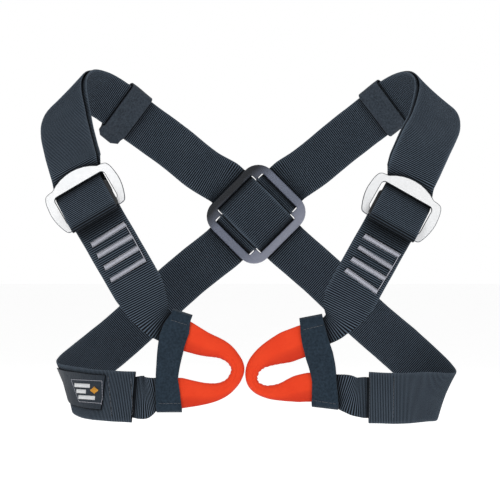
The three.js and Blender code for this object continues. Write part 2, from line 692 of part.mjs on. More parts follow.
// Keeper: an elastic sleeve that holds the tail on the shoulder webbing
function addKeeper(name, side) {
  const over = shoulderFrames(side).slice(keeperStart, keeperStart + side.keeper + 1);
  const middle = frames(shifted(over, () => towardsWearer(side) / 2));
  const width = WEBBING_WIDTH + 2 * KEEPER_SIDE_PLAY;
  const depth = WEBBING_STEP + WEBBING_THICKNESS + 2 * KEEPER_PLAY;
  const full = { width: width + 2 * KEEPER_WALL, depth: depth + 2 * KEEPER_WALL };
  const outer = (share) => flatOutline(
    full.width,
    full.depth,
    side.tab ? tabEnd(full.width, full.depth, share) : undefined,
  );
  addPiece(`keeper_${name}`, sleeve(middle, () => flatOutline(width, depth), outer), 'keeper');
}

// Side webbing: from behind the plate's rail round the wearer's side to the chest

function sideFrames(side) {
  const start = plateStation(side, -pastRail(side), PLATE_BACK);
  return frames(smooth([start, ...routeStations(side.body, WEBBING_WIDTH)]));
}

function addSideWebbing(name, side) {
  const start = plateStation(side, -behindRail(side) - GAP, PLATE_BACK);
  addPiece(`side_webbing_${name}`, strip([start, ...sideFrames(side)], WEBBING_THICKNESS), 'webbing');
}

// Front webbing: its short end behind, round the buckle's bottom bar, down the front to the loop band

function frontStations(side) {
  const turnUp = -(BUCKLE_WINDOW_HEIGHT + BUCKLE_BEVEL);
  const bottom = -(BUCKLE_WINDOW_HEIGHT + BUCKLE_BOTTOM_BAR);
  const half = WEBBING_STEP / 2;
  const rows = [
    [bottom - DOUBLED_LENGTH, -half],
    [bottom - BUCKLE_BOTTOM_BAR, -half],
    [bottom, BAR_BACK],
  ];
  for (let step = 0; step <= TURN_STEPS; step += 1) {
    const angle = Math.PI * step / TURN_STEPS;
    rows.push([turnUp - BAR_BACK * Math.sin(angle), BAR_BACK * Math.cos(angle)]);
  }
  rows.push([bottom, -BAR_BACK], [bottom - BUCKLE_BOTTOM_BAR, half]);
  const wrapped = rows.map(([up, front]) => buckleStation(side, up, front));
  const straight = buckleStation(side, bottom - SEWN_STRAIGHT, half);
  const [lead, end] = besideLoop(side, 0);
  return [...wrapped, ...smooth([straight, ...routeStations(side.front, WEBBING_WIDTH), lead]), end];
}

function addFrontWebbing(name, side) {
  addPiece(`front_webbing_${name}`, strip(frontStations(side), WEBBING_THICKNESS), 'webbing');
}

// Loop webbing: from behind the end of the chest strap to the lower arm of the tie loop
function loopWebbingStations(side, chest) {
  const width = LOOP_WEBBING_WIDTH * LOOP_WEBBING_START;
  const behind = shifted(chest.slice(-ROUTE_STEPS), () => towardsWearer(side))
    .map((s) => ({ ...s, width }));
  const [before, last] = behind.slice(-2);
  const ahead = last.middle.clone().sub(before.middle).setLength(LOOP_LEAD).add(last.middle);
  const free = routeStations(side.loopWebbing, LOOP_WEBBING_WIDTH);
  const [lead, end] = besideLoop(side, -1);
  return [...behind, ...smooth([{ ...last, middle: ahead }, ...free, lead]), end];
}

function addLoopWebbing(name, side, chest) {
  addPiece(`loop_webbing_${name}`, strip(loopWebbingStations(side, chest), WEBBING_THICKNESS), 'webbing');
}

// Tie loop: webbing in a sleeve, flat where it enters the band and folded up at its tip

function loopStations(side) {
  const lie = -HALF_DEPTH;
  return side.loop.map((row) => ({
    ...station(rowPoint(row, lie), widthLine(row.turn), row.wide * WEBBING_WIDTH),
    round: row.round,
  }));
}

const loopFrames = (side) => frames(smooth(loopStations(side), LOOP_STEPS));

// The last two stations of webbing that meets an end of the tie loop, 0 for its first, -1 for its last
function besideLoop(side, which) {
  const end = loopFrames(side).at(which);
  const outwards = which === 0 ? -1 : 1;
  return [LOOP_LEAD, GAP].map((away) => station(
    end.middle.clone().addScaledVector(end.along, outwards * away),
    end.across.clone().multiplyScalar(-outwards),
    end.width,
  ));
}

function addTieLoop(name, side) {
  const rows = loopStations(side);
  const rings = loopFrames(side).map((frame, index) => {
    const row = index / LOOP_STEPS;
    const before = rows[Math.floor(row)];
    const after = rows[Math.ceil(row)];
    const round = THREE.MathUtils.lerp(before.round, after.round, row - Math.floor(row));
    const depth = THREE.MathUtils.lerp(LOOP_FLAT, LOOP_ROUND, round);
    return softOutline(frame.width, depth, THREE.MathUtils.lerp(FLAT_POWER, ROUND_POWER, round))
      .map(([edge, face]) => frame.middle.clone()
        .addScaledVector(frame.across, edge)
        .addScaledVector(frame.face, face));
  });
  addPiece(`tie_loop_${name}`, skin(rings), 'sleeve');
}

// An oval whose sides are flatter the higher its power is
function softOutline(width, depth, power) {
  const flatten = (value) => Math.sign(value) * Math.abs(value) ** (2 / power);
  return Array.from({ length: LOOP_SIDES }, (_, corner) => {
    const angle = 2 * Math.PI * (corner + 0.5) / LOOP_SIDES;
    return [width / 2 * flatten(Math.cos(angle)), depth / 2 * flatten(Math.sin(angle))];
  });
}

// Loop band: an elastic ring round both arms of the tie loop
function addLoopBand(name, side) {
  const reach = LOOP_FLAT / 2 + GAP + BAND_THICKNESS / 2;
  const front = side.band.map((row) => station(
    rowPoint(row, -HALF_DEPTH - reach),
    widthLine(row.turn),
    row.wide * BAND_WIDTH,
  ));
  const run = smooth(front, LOOP_STEPS);
  const back = run.map((s) => ({ ...s, middle: s.middle.clone().add(new THREE.Vector3(0, 2 * reach, 0)) }));
  const turns = (from, away) => Array.from({ length: TURN_STEPS / 2 - 1 }, (_, step) => {
    const angle = Math.PI * (step + 1) / (TURN_STEPS / 2);
    const middle = from.middle.clone().addScaledVector(away, reach * Math.sin(angle));
    middle.y += reach * (1 - Math.cos(angle));
    return { ...from, middle };
  });
  const outwards = (end, inner) => end.middle.clone().sub(inner.middle).normalize();
  const bottomEnd = run[run.length - 1];
  const bottom = turns(bottomEnd, outwards(bottomEnd, run[run.length - 2]));
  const top = turns(run[0], outwards(run[0], run[1])).reverse();
  const ring = [...run, ...bottom, ...back.reverse(), ...top];
  addPiece(`loop_band_${name}`, strip(ring, BAND_THICKNESS, true), 'elastic');
}

// Label: a thin patch on the outer face of the chest strap
function addLabel(chest) {
  const start = LABEL_ROW * ROUTE_STEPS;
  const covered = chest.slice(start, start + LABEL_STEPS + 1);
  const lift = (WEBBING_THICKNESS + LABEL_THICKNESS) / 2 + GAP;
  const patch = shifted(covered, () => -lift, () => LABEL_RAISE).map((s) => ({ ...s, width: LABEL_HEIGHT }));
  addPiece('label_patch', strip(patch, LABEL_THICKNESS), 'label');
}

addBackPlate();
for (const [name, side] of Object.entries(SIDES)) {
  const other = name === 'right' ? 'left' : 'right';
  addShoulderWebbing(name, side);
  addKeeper(name, side);
  addBuckleFrame(name, side);
  addSlider(name, side);
  addFrontWebbing(name, side);
  addSideWebbing(other, side);
  addLoopWebbing(name, side, sideFrames(SIDES[other]));
  addTieLoop(name, side);
  addLoopBand(name, side);
}
addLabel(sideFrames(SIDES.left));

export default harness;
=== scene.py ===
"""Looks of the climbing chest harness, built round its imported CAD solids, in metres.

The webbing, sleeves and bands follow the rings of their own solids, so that every piece
stays where the solids are. +Z is up and the wearer faces -Y.
"""

from __future__ import annotations

import logging
import math
from collections.abc import Sequence
from dataclasses import dataclass, field
from enum import Enum

import bmesh
import bpy
import numpy as np
from mathutils import Matrix, Vector
from mathutils.bvhtree import BVHTree


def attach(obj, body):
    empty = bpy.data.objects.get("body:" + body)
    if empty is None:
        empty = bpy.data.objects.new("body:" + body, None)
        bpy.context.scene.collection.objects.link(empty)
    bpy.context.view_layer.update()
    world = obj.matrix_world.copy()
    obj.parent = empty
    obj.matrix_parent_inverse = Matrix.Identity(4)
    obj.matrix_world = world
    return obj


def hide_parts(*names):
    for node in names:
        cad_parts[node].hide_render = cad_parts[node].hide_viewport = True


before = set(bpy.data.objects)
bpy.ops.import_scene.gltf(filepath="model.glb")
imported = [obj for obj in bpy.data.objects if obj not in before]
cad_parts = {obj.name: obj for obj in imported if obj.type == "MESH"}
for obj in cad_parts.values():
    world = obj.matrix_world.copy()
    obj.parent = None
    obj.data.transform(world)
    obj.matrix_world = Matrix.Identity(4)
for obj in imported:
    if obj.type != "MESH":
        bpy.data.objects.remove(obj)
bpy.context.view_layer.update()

LOG = logging.getLogger("harness")
BODY = "root"
WELD = 1e-5
FINE_WELD = 1e-7
TINY = 1e-9
SAME_WAY = 0.9999
FACE_ON = 0.95
RIB_PITCH = 0.00187
BEND_CUT = 0.004
OUTWARDS = Vector((0.0, 1.0, 0.0))

Colour = tuple[float, float, float]
Pixel = tuple[float, float]
# Where across the harness a strap swells, how far that reaches, and by how much on each side, in metres
Swell = tuple[float, float, float]


class Side(Enum):
    """The wearer's two sides."""

    RIGHT = "right"
    LEFT = "left"


class Slot(Enum):
    """The material slots."""

    WEBBING = "webbing"
    ELASTIC = "elastic"
    KEEPER = "keeper"
    SLEEVE = "sleeve"
    PLATE = "plate"
    ALLOY = "alloy"
    SLIDER = "slider"
    LABEL = "label"


class Graph:
    """A material's nodes, with short calls that add and join them."""

    def __init__(self, name: str) -> None:
        """Starts a material with one shader."""
        self.material = bpy.data.materials.new(name)
        self.material.use_nodes = True
        self.tree = self.material.node_tree
        self.shader = self.tree.nodes["Principled BSDF"]

    def add(self, kind: str, inputs: dict | None = None, **settings: object) -> bpy.types.Node:
        """Adds a node.

        Args:
            kind: the node's type name.
            inputs: value or socket for each input, by name or number.
            settings: the node's own properties.

        Returns:
            The new node.
        """
        node = self.tree.nodes.new(kind)
        for name, value in settings.items():
            setattr(node, name, value)
        for key, value in (inputs or {}).items():
            self.give(node.inputs[key], value)
        return node

    def give(self, socket: bpy.types.NodeSocket, value: object) -> None:
        """Joins a socket to value, or sets it where value is a constant."""
        if isinstance(value, bpy.types.NodeSocket):
            self.tree.links.new(value, socket)
        else:
            socket.default_value = value

    def math(self, operation: str, *values: object, clamp: bool = False) -> bpy.types.NodeSocket:
        """Returns the result of a Math node on the values."""
        node = self.add("ShaderNodeMath", dict(enumerate(values)), operation=operation, use_clamp=clamp)
        return node.outputs[0]

    def mix(self, share: object, first: object, second: object) -> bpy.types.NodeSocket:
        """Adds a mix of two colours.

        Args:
            share: how much of the second colour, from 0 to 1.
            first: colour or socket.
            second: colour or socket.

        Returns:
            The mixed colour.
        """
        node = self.add("ShaderNodeMix", data_type="RGBA")
        for socket, value in ((node.inputs[0], share), (node.inputs[6], first), (node.inputs[7], second)):
            self.give(socket, (*value, 1.0) if isinstance(value, tuple) else value)
        return node.outputs[2]

    def place(self) -> bpy.types.NodeSocket:
        """Returns the object's own coordinates."""
        return self.add("ShaderNodeTexCoord").outputs["Object"]

    def run(self) -> list[bpy.types.NodeSocket]:
        """Returns a strip's own measures: metres along it, metres across or round it, and a share of painted
        shade.
        """
        attribute = self.add("ShaderNodeAttribute", attribute_name="run")
        return list(self.add("ShaderNodeSeparateXYZ", {0: attribute.outputs["Vector"]}).outputs)

    def noise(self, vector: object, scale: float, detail: float = 3.0) -> bpy.types.NodeSocket:
        """Returns noise from 0 to 1 at the given scale per metre."""
        node = self.add("ShaderNodeTexNoise", {"Vector": vector, "Scale": scale, "Detail": detail})
        return node.outputs["Fac"]

    def wave(self, value: object, pitch: float, phase: object = 0.0) -> bpy.types.NodeSocket:
        """Returns a smooth wave from 0 to 1 that repeats each pitch of value."""
        turns = self.math("MULTIPLY_ADD", value, 2 * math.pi / pitch, phase)
        return self.math("MULTIPLY_ADD", self.math("COSINE", turns), 0.5, 0.5)

    def bump(self, height: object, depth: float, below: object | None = None) -> bpy.types.NodeSocket:
        """Adds a bump.

        Args:
            height: the surface's height, from 0 to 1.
            depth: how deep that is, in metres.
            below: the normal of a coarser bump that this one lies on.

        Returns:
            The bumped normal.
        """
        inputs = {"Height": height, "Distance": depth}
        if below is not None:
            inputs["Normal"] = below
        return self.add("ShaderNodeBump", inputs).outputs["Normal"]

    def shelter(self, distance: float, power: float) -> bpy.types.NodeSocket:
        """Returns how open the surroundings are within distance, from 0 to 1, raised to power."""
        node = self.add("ShaderNodeAmbientOcclusion", {"Distance": distance}, samples=8)
        return self.math("POWER", node.outputs["AO"], power)

    def spread(self, value: object, low: float, high: float) -> bpy.types.NodeSocket:
        """Returns value, from 0 to 1, spread from low to high."""
        return self.math("MULTIPLY_ADD", value, high - low, low)

    def finish(self, colour: object, roughness: object, normal: object | None = None,
               **constants: object) -> bpy.types.Material:
        """Sets the shader and returns the material.

        Args:
            colour: colour or socket.
            roughness: value or socket.
            normal: normal socket.
            constants: the shader's other sockets, by name with _ for a space.

        Returns:
            The finished material.
        """
        self.give(self.shader.inputs["Base Color"], (*colour, 1.0) if isinstance(colour, tuple) else colour)
        self.give(self.shader.inputs["Roughness"], roughness)
        if normal is not None:
            self.give(self.shader.inputs["Normal"], normal)
        for name, value in constants.items():
            self.shader.inputs[name.replace("_", " ")].default_value = value
        return self.material


@dataclass(frozen=True)
class WovenFinish:
    """Ribbed woven webbing, paler where it is rubbed, with painted shade in its rib grooves, at sharp folds
    and near other parts.
    """

    name: str = "ribbed_webbing"
    # The darkest colour is painted shade: in the rib grooves, near other parts and at sharp folds
    shade_colour: Colour = (0.0010, 0.0015, 0.0024)
    crest: Colour = (0.094, 0.129, 0.174)
    worn: Colour = (0.112, 0.146, 0.188)
    pitch: float = RIB_PITCH
    rib_sharpness: float = 3.0
    rib_depth: float = 0.00022
    yarn: float = 0.0009
    yarn_low: float = 0.86
    half_width: float = 0.0225
    edge_sharpness: float = 18.0
    # How much a sharp fold darkens the cloth, as painted shade
    crease_shade: float = 0.88
    cloud_scale: float = 38.0
    fibre_scale: float = 2600.0
    fibre_depth: float = 0.00008
    # How far off a neighbour still casts painted shade on the cloth, and how strongly
    contact_shade: tuple[float, float] = (0.015, 3.0)
    hollow_shade: tuple[float, float] = (0.07, 1.7)

    def build(self) -> bpy.types.Material:
        """Builds the material.

        Returns:
            The material.
        """
        graph = Graph(self.name)
        along, across, crease = graph.run()
        row = graph.math("FLOOR", graph.math("DIVIDE", along, self.pitch))
        offset = graph.math("MULTIPLY", graph.math("MODULO", row, 2.0), math.pi)
        yarn = graph.wave(across, self.yarn, offset)
        rib = graph.math("POWER", graph.wave(along, self.pitch), self.rib_sharpness)
        weave = graph.math("MULTIPLY", rib, graph.spread(yarn, self.yarn_low, 1.0))
        place = graph.place()
        cloudy = graph.noise(place, self.cloud_scale, 4.0)
        fibre = graph.noise(place, self.fibre_scale, 2.0)
        # Painted shade in the rib grooves: the weave runs from the darkest colour up to the crest
        cloth = graph.mix(weave, self.shade_colour, self.crest)
        faded = graph.mix(graph.math("MULTIPLY", graph.math("POWER", cloudy, 2.0), weave), cloth, self.worn)
        edge = graph.math("DIVIDE", graph.math("ABSOLUTE", across), self.half_width)
        border = graph.math("POWER", edge, self.edge_sharpness)
        rubbed = graph.math("MULTIPLY", border, graph.spread(fibre, 0.1, 0.6), clamp=True)
        # Painted shade near other parts, from ambient occlusion, and at sharp folds
        shade = graph.math("MULTIPLY", graph.shelter(*self.contact_shade), graph.shelter(*self.hollow_shade))
        shade = graph.math("MULTIPLY", shade, graph.spread(crease, 1.0, 1.0 - self.crease_shade))
        colour = graph.mix(shade, self.shade_colour, graph.mix(rubbed, faded, self.worn))
        normal = graph.bump(weave, self.rib_depth, graph.bump(fibre, self.fibre_depth))
        return graph.finish(
            colour, graph.spread(fibre, 0.62, 0.86), normal, Specular_IOR_Level=0.10,
            Sheen_Weight=0.10, Sheen_Roughness=0.4, Sheen_Tint=(0.55, 0.66, 0.82, 1.0),
        )


@dataclass(frozen=True)
class FeltFinish:
    """Plain brushed cloth with short fibres, a little mottled, with painted shade near other parts."""

    name: str
    dark: Colour
    light: Colour
    fibre_scale: float = 2200.0
    depth: float = 0.00018
    sheen: float = 0.12
    mottle_scale: float = 520.0
    mottle_contrast: float = 2.6
    mottle_start: float = 0.8
    cloud_scale: float = 90.0
    cloud_depth: float = 0.0006
    # How much of the colour follows the fibres, the cloudiness and the mottling
    weights: tuple[float, float, float] = (0.5, 0.2, 0.5)
    # How far off a neighbour casts painted shade on the cloth, and how strongly
    contact_shade: tuple[float, float] = (0.008, 1.2)

    def build(self) -> bpy.types.Material:
        """Builds the material.

        Returns:
            The material.
        """
        graph = Graph(self.name)
        place = graph.place()
        fibre = graph.noise(place, self.fibre_scale, 4.0)
        cloudy = graph.noise(place, self.cloud_scale, 3.0)
        mottle = graph.math(
            "MULTIPLY_ADD", graph.noise(place, self.mottle_scale, 3.0), self.mottle_contrast,
            -self.mottle_start, clamp=True)
        blend = graph.math("MULTIPLY", mottle, self.weights[2])
        blend = graph.math("MULTIPLY_ADD", cloudy, self.weights[1], blend)
        blend = graph.math("MULTIPLY_ADD", fibre, self.weights[0], blend)
        # Painted shade near other parts: ambient occlusion mixes towards the dark colour
        colour = graph.mix(graph.shelter(*self.contact_shade), self.dark, graph.mix(blend, self.dark, self.light))
        below = graph.bump(mottle, self.depth, graph.bump(cloudy, self.cloud_depth))
        return graph.finish(
            colour, graph.spread(fibre, 0.75, 0.95), graph.bump(fibre, self.depth, below),
            Sheen_Weight=self.sheen, Sheen_Roughness=0.5, Specular_IOR_Level=0.10,
        )


@dataclass(frozen=True)
class SleeveFinish:
    """Smooth tubular cloth in orange red, with painted shade on its underside."""

    name: str = "red_sleeve"
    bright: Colour = (0.70, 0.042, 0.010)
    # The deep colour is painted shade on the underside, and also the colour of the fine specks
    deep: Colour = (0.36, 0.012, 0.005)
    pale: Colour = (0.76, 0.056, 0.014)
    thread: float = 0.0008
    thread_depth: float = 0.00006
    cloud_scale: float = 70.0
    cloud_depth: float = 0.0009
    fine_scale: float = 1800.0
    fine_share: float = 0.06

    def build(self) -> bpy.types.Material:
        """Builds the material.

        Returns:
            The material.
        """
        graph = Graph(self.name)
        along, round_, under = graph.run()
        weave = graph.math("MULTIPLY", graph.wave(along, self.thread), graph.wave(round_, self.thread))
        place = graph.place()
        cloudy = graph.noise(place, self.cloud_scale, 4.0)
        fine = graph.noise(place, self.fine_scale, 3.0)
        base = graph.mix(graph.spread(cloudy, -0.2, 1.1), self.bright, self.pale)
        # Painted shade on the sleeve's underside
        shaded = graph.mix(under, base, self.deep)
        colour = graph.mix(graph.math("MULTIPLY", fine, self.fine_share), shaded, self.deep)
        normal = graph.bump(weave, self.thread_depth, graph.bump(cloudy, self.cloud_depth))
        return graph.finish(
            colour, graph.spread(fine, 0.5, 0.7), normal,
            Sheen_Weight=0.05, Sheen_Roughness=0.4, Specular_IOR_Level=0.12,
        )


@dataclass(frozen=True)
class PlateFinish:
    """Glossy moulded plastic, with painted shade towards its upper rail on the wearer's right and a painted
    highlight towards its lower rail on the wearer's left.
    """

    name: str = "moulded_plate"
    # The dark colour is painted shade, the light colour a painted highlight, the middle one the plastic's own
    # colour
    dark: Colour = (0.006, 0.008, 0.012)
    middle: Colour = (0.135, 0.152, 0.205)
    light: Colour = (0.215, 0.230, 0.290)
    # Where the painted shade and highlight are centred on the plate, and how far they reach
    centre: tuple[float, float] = (0.006, -0.109)
    reach: float = 0.037
    contrast: float = 2.4
    shade_start: float = 1.1
    highlight_start: float = 1.2
    grain_scale: float = 900.0
    grain_depth: float = 0.00003
    cloud_scale: float = 60.0
    contact_shade: tuple[float, float] = (0.004, 0.8)

    def build(self) -> bpy.types.Material:
        """Builds the material.

        Returns:
            The material.
        """
        graph = Graph(self.name)
        place = graph.place()
        grain = graph.noise(place, self.grain_scale, 3.0)
        cloudy = graph.noise(place, self.cloud_scale, 3.0)
        x, _, z = graph.add("ShaderNodeSeparateXYZ", {0: place}).outputs
        # Painted shade towards the upper rail and a painted highlight towards the lower one, set by place on
        # the plate
        rise = graph.math(
            "SUBTRACT", graph.math("SUBTRACT", z, self.centre[1]), graph.math("SUBTRACT", x, self.centre[0]))
        share = graph.math(
            "MULTIPLY_ADD", rise, math.sqrt(0.5) / self.reach, graph.spread(cloudy, -0.1, 0.1))
        upper = graph.math("MULTIPLY_ADD", share, self.contrast, -self.shade_start, clamp=True)
        lower = graph.math("MULTIPLY_ADD", share, -self.contrast, -self.highlight_start, clamp=True)
        colour = graph.mix(lower, graph.mix(upper, self.middle, self.dark), self.light)
        # Painted shade near other parts, from ambient occlusion
        return graph.finish(
            graph.mix(graph.shelter(*self.contact_shade), self.dark, colour), graph.spread(cloudy, 0.18, 0.34),
            graph.bump(grain, self.grain_depth), Coat_Weight=0.2, Coat_Roughness=0.15, Specular_IOR_Level=0.4,
        )


@dataclass(frozen=True)
class MetalFinish:
    """Forged metal, polished or coated."""

    name: str
    colour: Colour
    shade: Colour
    low: float
    high: float
    metallic: float = 1.0
    brush_scale: float = 420.0
    brush_depth: float = 0.00002
    cloud_scale: float = 55.0
    cloud_share: float = 0.6

    def build(self) -> bpy.types.Material:
        """Builds the material.

        Returns:
            The material.
        """
        graph = Graph(self.name)
        place = graph.place()
        brushed = graph.noise(place, self.brush_scale, 5.0)
        cloudy = graph.noise(place, self.cloud_scale, 2.0)
        colour = graph.mix(graph.math("MULTIPLY", cloudy, self.cloud_share), self.colour, self.shade)
        return graph.finish(
            colour, graph.spread(brushed, self.low, self.high), graph.bump(brushed, self.brush_depth),
            Metallic=self.metallic,
        )


@dataclass(frozen=True)
class ThreadFinish:
    """Twisted sewing thread."""

    name: str
    colour: Colour
    shade: Colour
    roughness: float = 0.6
    fibre_scale: float = 1500.0
    fibre_depth: float = 0.0001

    def build(self) -> bpy.types.Material:
        """Builds the material.

        Returns:
            The material.
        """
        graph = Graph(self.name)
        fibre = graph.noise(graph.place(), self.fibre_scale, 3.0)
        colour = graph.mix(fibre, self.shade, self.colour)
        return graph.finish(colour, self.roughness, graph.bump(fibre, self.fibre_depth), Sheen_Weight=0.3)


@dataclass
class Finishes:
    """Every finish of the harness, built once."""

    webbing: bpy.types.Material = field(default_factory=lambda: WovenFinish().build())
    sleeve: bpy.types.Material = field(default_factory=lambda: SleeveFinish().build())
    plate: bpy.types.Material = field(default_factory=lambda: PlateFinish().build())
    elastic: bpy.types.Material = field(default_factory=lambda: FeltFinish(
        "elastic_band", (0.003, 0.007, 0.012), (0.022, 0.037, 0.055), 1700.0, 0.00010).build())
    keeper: bpy.types.Material = field(default_factory=lambda: FeltFinish(
        "keeper_felt", (0.006, 0.009, 0.013), (0.048, 0.063, 0.083)).build())
    label: bpy.types.Material = field(default_factory=lambda: FeltFinish(
        "label_cloth", (0.005, 0.008, 0.012), (0.026, 0.036, 0.050), 2600.0, 0.0001).build())
    alloy: bpy.types.Material = field(default_factory=lambda: MetalFinish(
        "polished_alloy", (0.97, 0.975, 0.98), (0.80, 0.82, 0.85), 0.28, 0.42, 0.6).build())
    # A dark copy of the alloy: painted shade on the buckles' bevels and sides
    alloy_edge_shade: bpy.types.Material = field(default_factory=lambda: MetalFinish(
        "alloy_edge_shade", (0.16, 0.17, 0.19), (0.07, 0.075, 0.085), 0.25, 0.4).build())
    slider: bpy.types.Material = field(default_factory=lambda: MetalFinish(
        "black_coating", (0.010, 0.011, 0.013), (0.020, 0.021, 0.024), 0.35, 0.55, 0.3).build())
    tack_thread: bpy.types.Material = field(default_factory=lambda: ThreadFinish(
        "grey_thread", (0.50, 0.51, 0.57), (0.30, 0.31, 0.37)).build())
    dark_thread: bpy.types.Material = field(default_factory=lambda: ThreadFinish(
        "dark_thread", (0.070, 0.080, 0.095), (0.025, 0.030, 0.038)).build())
    white_thread: bpy.types.Material = field(default_factory=lambda: ThreadFinish(
        "white_thread", (0.78, 0.79, 0.80), (0.50, 0.51, 0.53)).build())
    gold_thread: bpy.types.Material = field(default_factory=lambda: ThreadFinish(
        "gold_thread", (0.95, 0.47, 0.03), (0.80, 0.33, 0.02)).build())


def corners_of(verts: Sequence[bmesh.types.BMVert]) -> list[list[float]]:
    """Returns the vertices' places."""
    return [list(vert.co) for vert in verts]


class SolidRings:
    """The rings of corners that a strip's CAD solid is made of, from one end to the other."""

    def __init__(self, node: str, corners: int) -> None:
        """Reads the rings of the node's solid.

        Args:
            node: the CAD node's name.
            corners: how many corners each ring has.
        """
        self.node = node
        self.corners = corners
        self.points = self._read()

    def _read(self) -> np.ndarray:
        """Finds a flat end of the solid and reads its rings from there.

        Returns:
            The rings as (ring, corner, 3).
        """
        work = bmesh.new()
        work.from_mesh(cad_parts[self.node].data)
        bmesh.ops.remove_doubles(work, verts=work.verts, dist=WELD)
        work.faces.ensure_lookup_table()
        found = None
        for cap in self._flat_groups(work):
            layers = self._layers(cap)
            if all(len(layer) == self.corners for layer in layers):
                found = [corners_of(layer) for layer in layers]
                break
        work.free()
        if found is None:
            raise ValueError(f"no end was found on {self.node}")
        return self._in_order(np.array(found))

    def _flat_groups(self, work: bmesh.types.BMesh) -> list[set[bmesh.types.BMVert]]:
        """Finds the flat groups of faces that could be an end.

        Args:
            work: the merged solid.

        Returns:
            The corners of each group.
        """
        groups = []
        for start in work.faces:
            group, queue = {start}, [start]
            while queue and len(group) <= self.corners - 2:
                face = queue.pop()
                for edge in face.edges:
                    for other in edge.link_faces:
                        if other not in group and other.normal.dot(start.normal) > SAME_WAY:
                            group.add(other)
                            queue.append(other)
            verts = {vert for face in group for vert in face.verts}
            if len(group) == self.corners - 2 and len(verts) == self.corners:
                groups.append(verts)
        return groups

    @staticmethod
    def _layers(cap: set[bmesh.types.BMVert]) -> list[list[bmesh.types.BMVert]]:
        """Sorts the vertices by how many edges they are from the cap.

        Args:
            cap: the end's vertices.

        Returns:
            The vertices in layers.
        """
        seen, layers = set(cap), [list(cap)]
        while True:
            fresh = {edge.other_vert(vert) for vert in layers[-1] for edge in vert.link_edges} - seen
            if not fresh:
                return layers
            seen |= fresh
            layers.append(list(fresh))

    @staticmethod
    def _in_order(rings: np.ndarray) -> np.ndarray:
        """Puts the corners of every ring in one order.

        Args:
            rings: the rings, each with its corners in any order.

        Returns:
            The rings with their corners in line all along.
        """
        centres = rings.mean(1)
        result = []
        for index, ring in enumerate(rings):
            spokes = ring - centres[index]
            ahead = centres[min(index + 1, len(rings) - 1)] - centres[max(index - 1, 0)]
            normal = np.linalg.svd(spokes)[2][2]
            normal *= np.sign(normal @ ahead) or 1.0
            first = spokes[np.argmax(np.linalg.norm(spokes, axis=1))]
            angles = np.arctan2(spokes @ np.cross(normal, first), spokes @ first)
            ring = ring[np.argsort(angles)]
            if result:
                turns = [np.roll(ring, turn, axis=0) for turn in range(len(ring))]
                ring = min(turns, key=lambda turned: np.sum((turned - result[-1]) ** 2))
            result.append(ring)
        return np.array(result)

    def starting_near(self, point: Vector) -> SolidRings:
        """Turns the rings end for end where their last is nearer to a point.

        Args:
            point: a place near the end that comes first.

        Returns:
            The same rings.
        """
        first, last = self.points[0].mean(0), self.points[-1].mean(0)
        if np.linalg.norm(last - np.array(point)) < np.linalg.norm(first - np.array(point)):
            self.points = self.points[::-1].copy()
        return self


def rounded_path(controls: np.ndarray, cut: float, steps: int = 8) -> tuple[np.ndarray, np.ndarray]:
    """Rounds a path at its corners, never further from them than cut.

    Args:
        controls: rows whose first three columns are places.
        cut: how far from a corner its rounding may start.
        steps: how many points each corner gets.

    Returns:
        The rounded rows and how far along each is.
    """
    rows = [controls[0]]
    for index in range(1, len(controls) - 1):
        before, here, after = controls[index - 1:index + 2]
        gap_in = max(np.linalg.norm(here[:3] - before[:3]), TINY)
        gap_out = max(np.linalg.norm(after[:3] - here[:3]), TINY)
        enter = here + (before - here) * min(0.5, cut / gap_in)
        leave = here + (after - here) * min(0.5, cut / gap_out)
        for share in np.linspace(0.0, 1.0, steps):
            rows.append((1 - share) ** 2 * enter + 2 * share * (1 - share) * here + share ** 2 * leave)
    rows.append(controls[-1])
    path = np.array(rows)
    lengths = np.linalg.norm(np.diff(path[:, :3], axis=0), axis=1)
    along = np.concatenate([[0.0], np.cumsum(lengths)])
    keep = np.concatenate([[True], np.diff(along) > TINY])
    return path[keep], along[keep]


def unit(rows: np.ndarray) -> np.ndarray:
    """Returns the rows at length one."""
    return rows / np.maximum(np.linalg.norm(rows, axis=-1, keepdims=True), 1e-12)


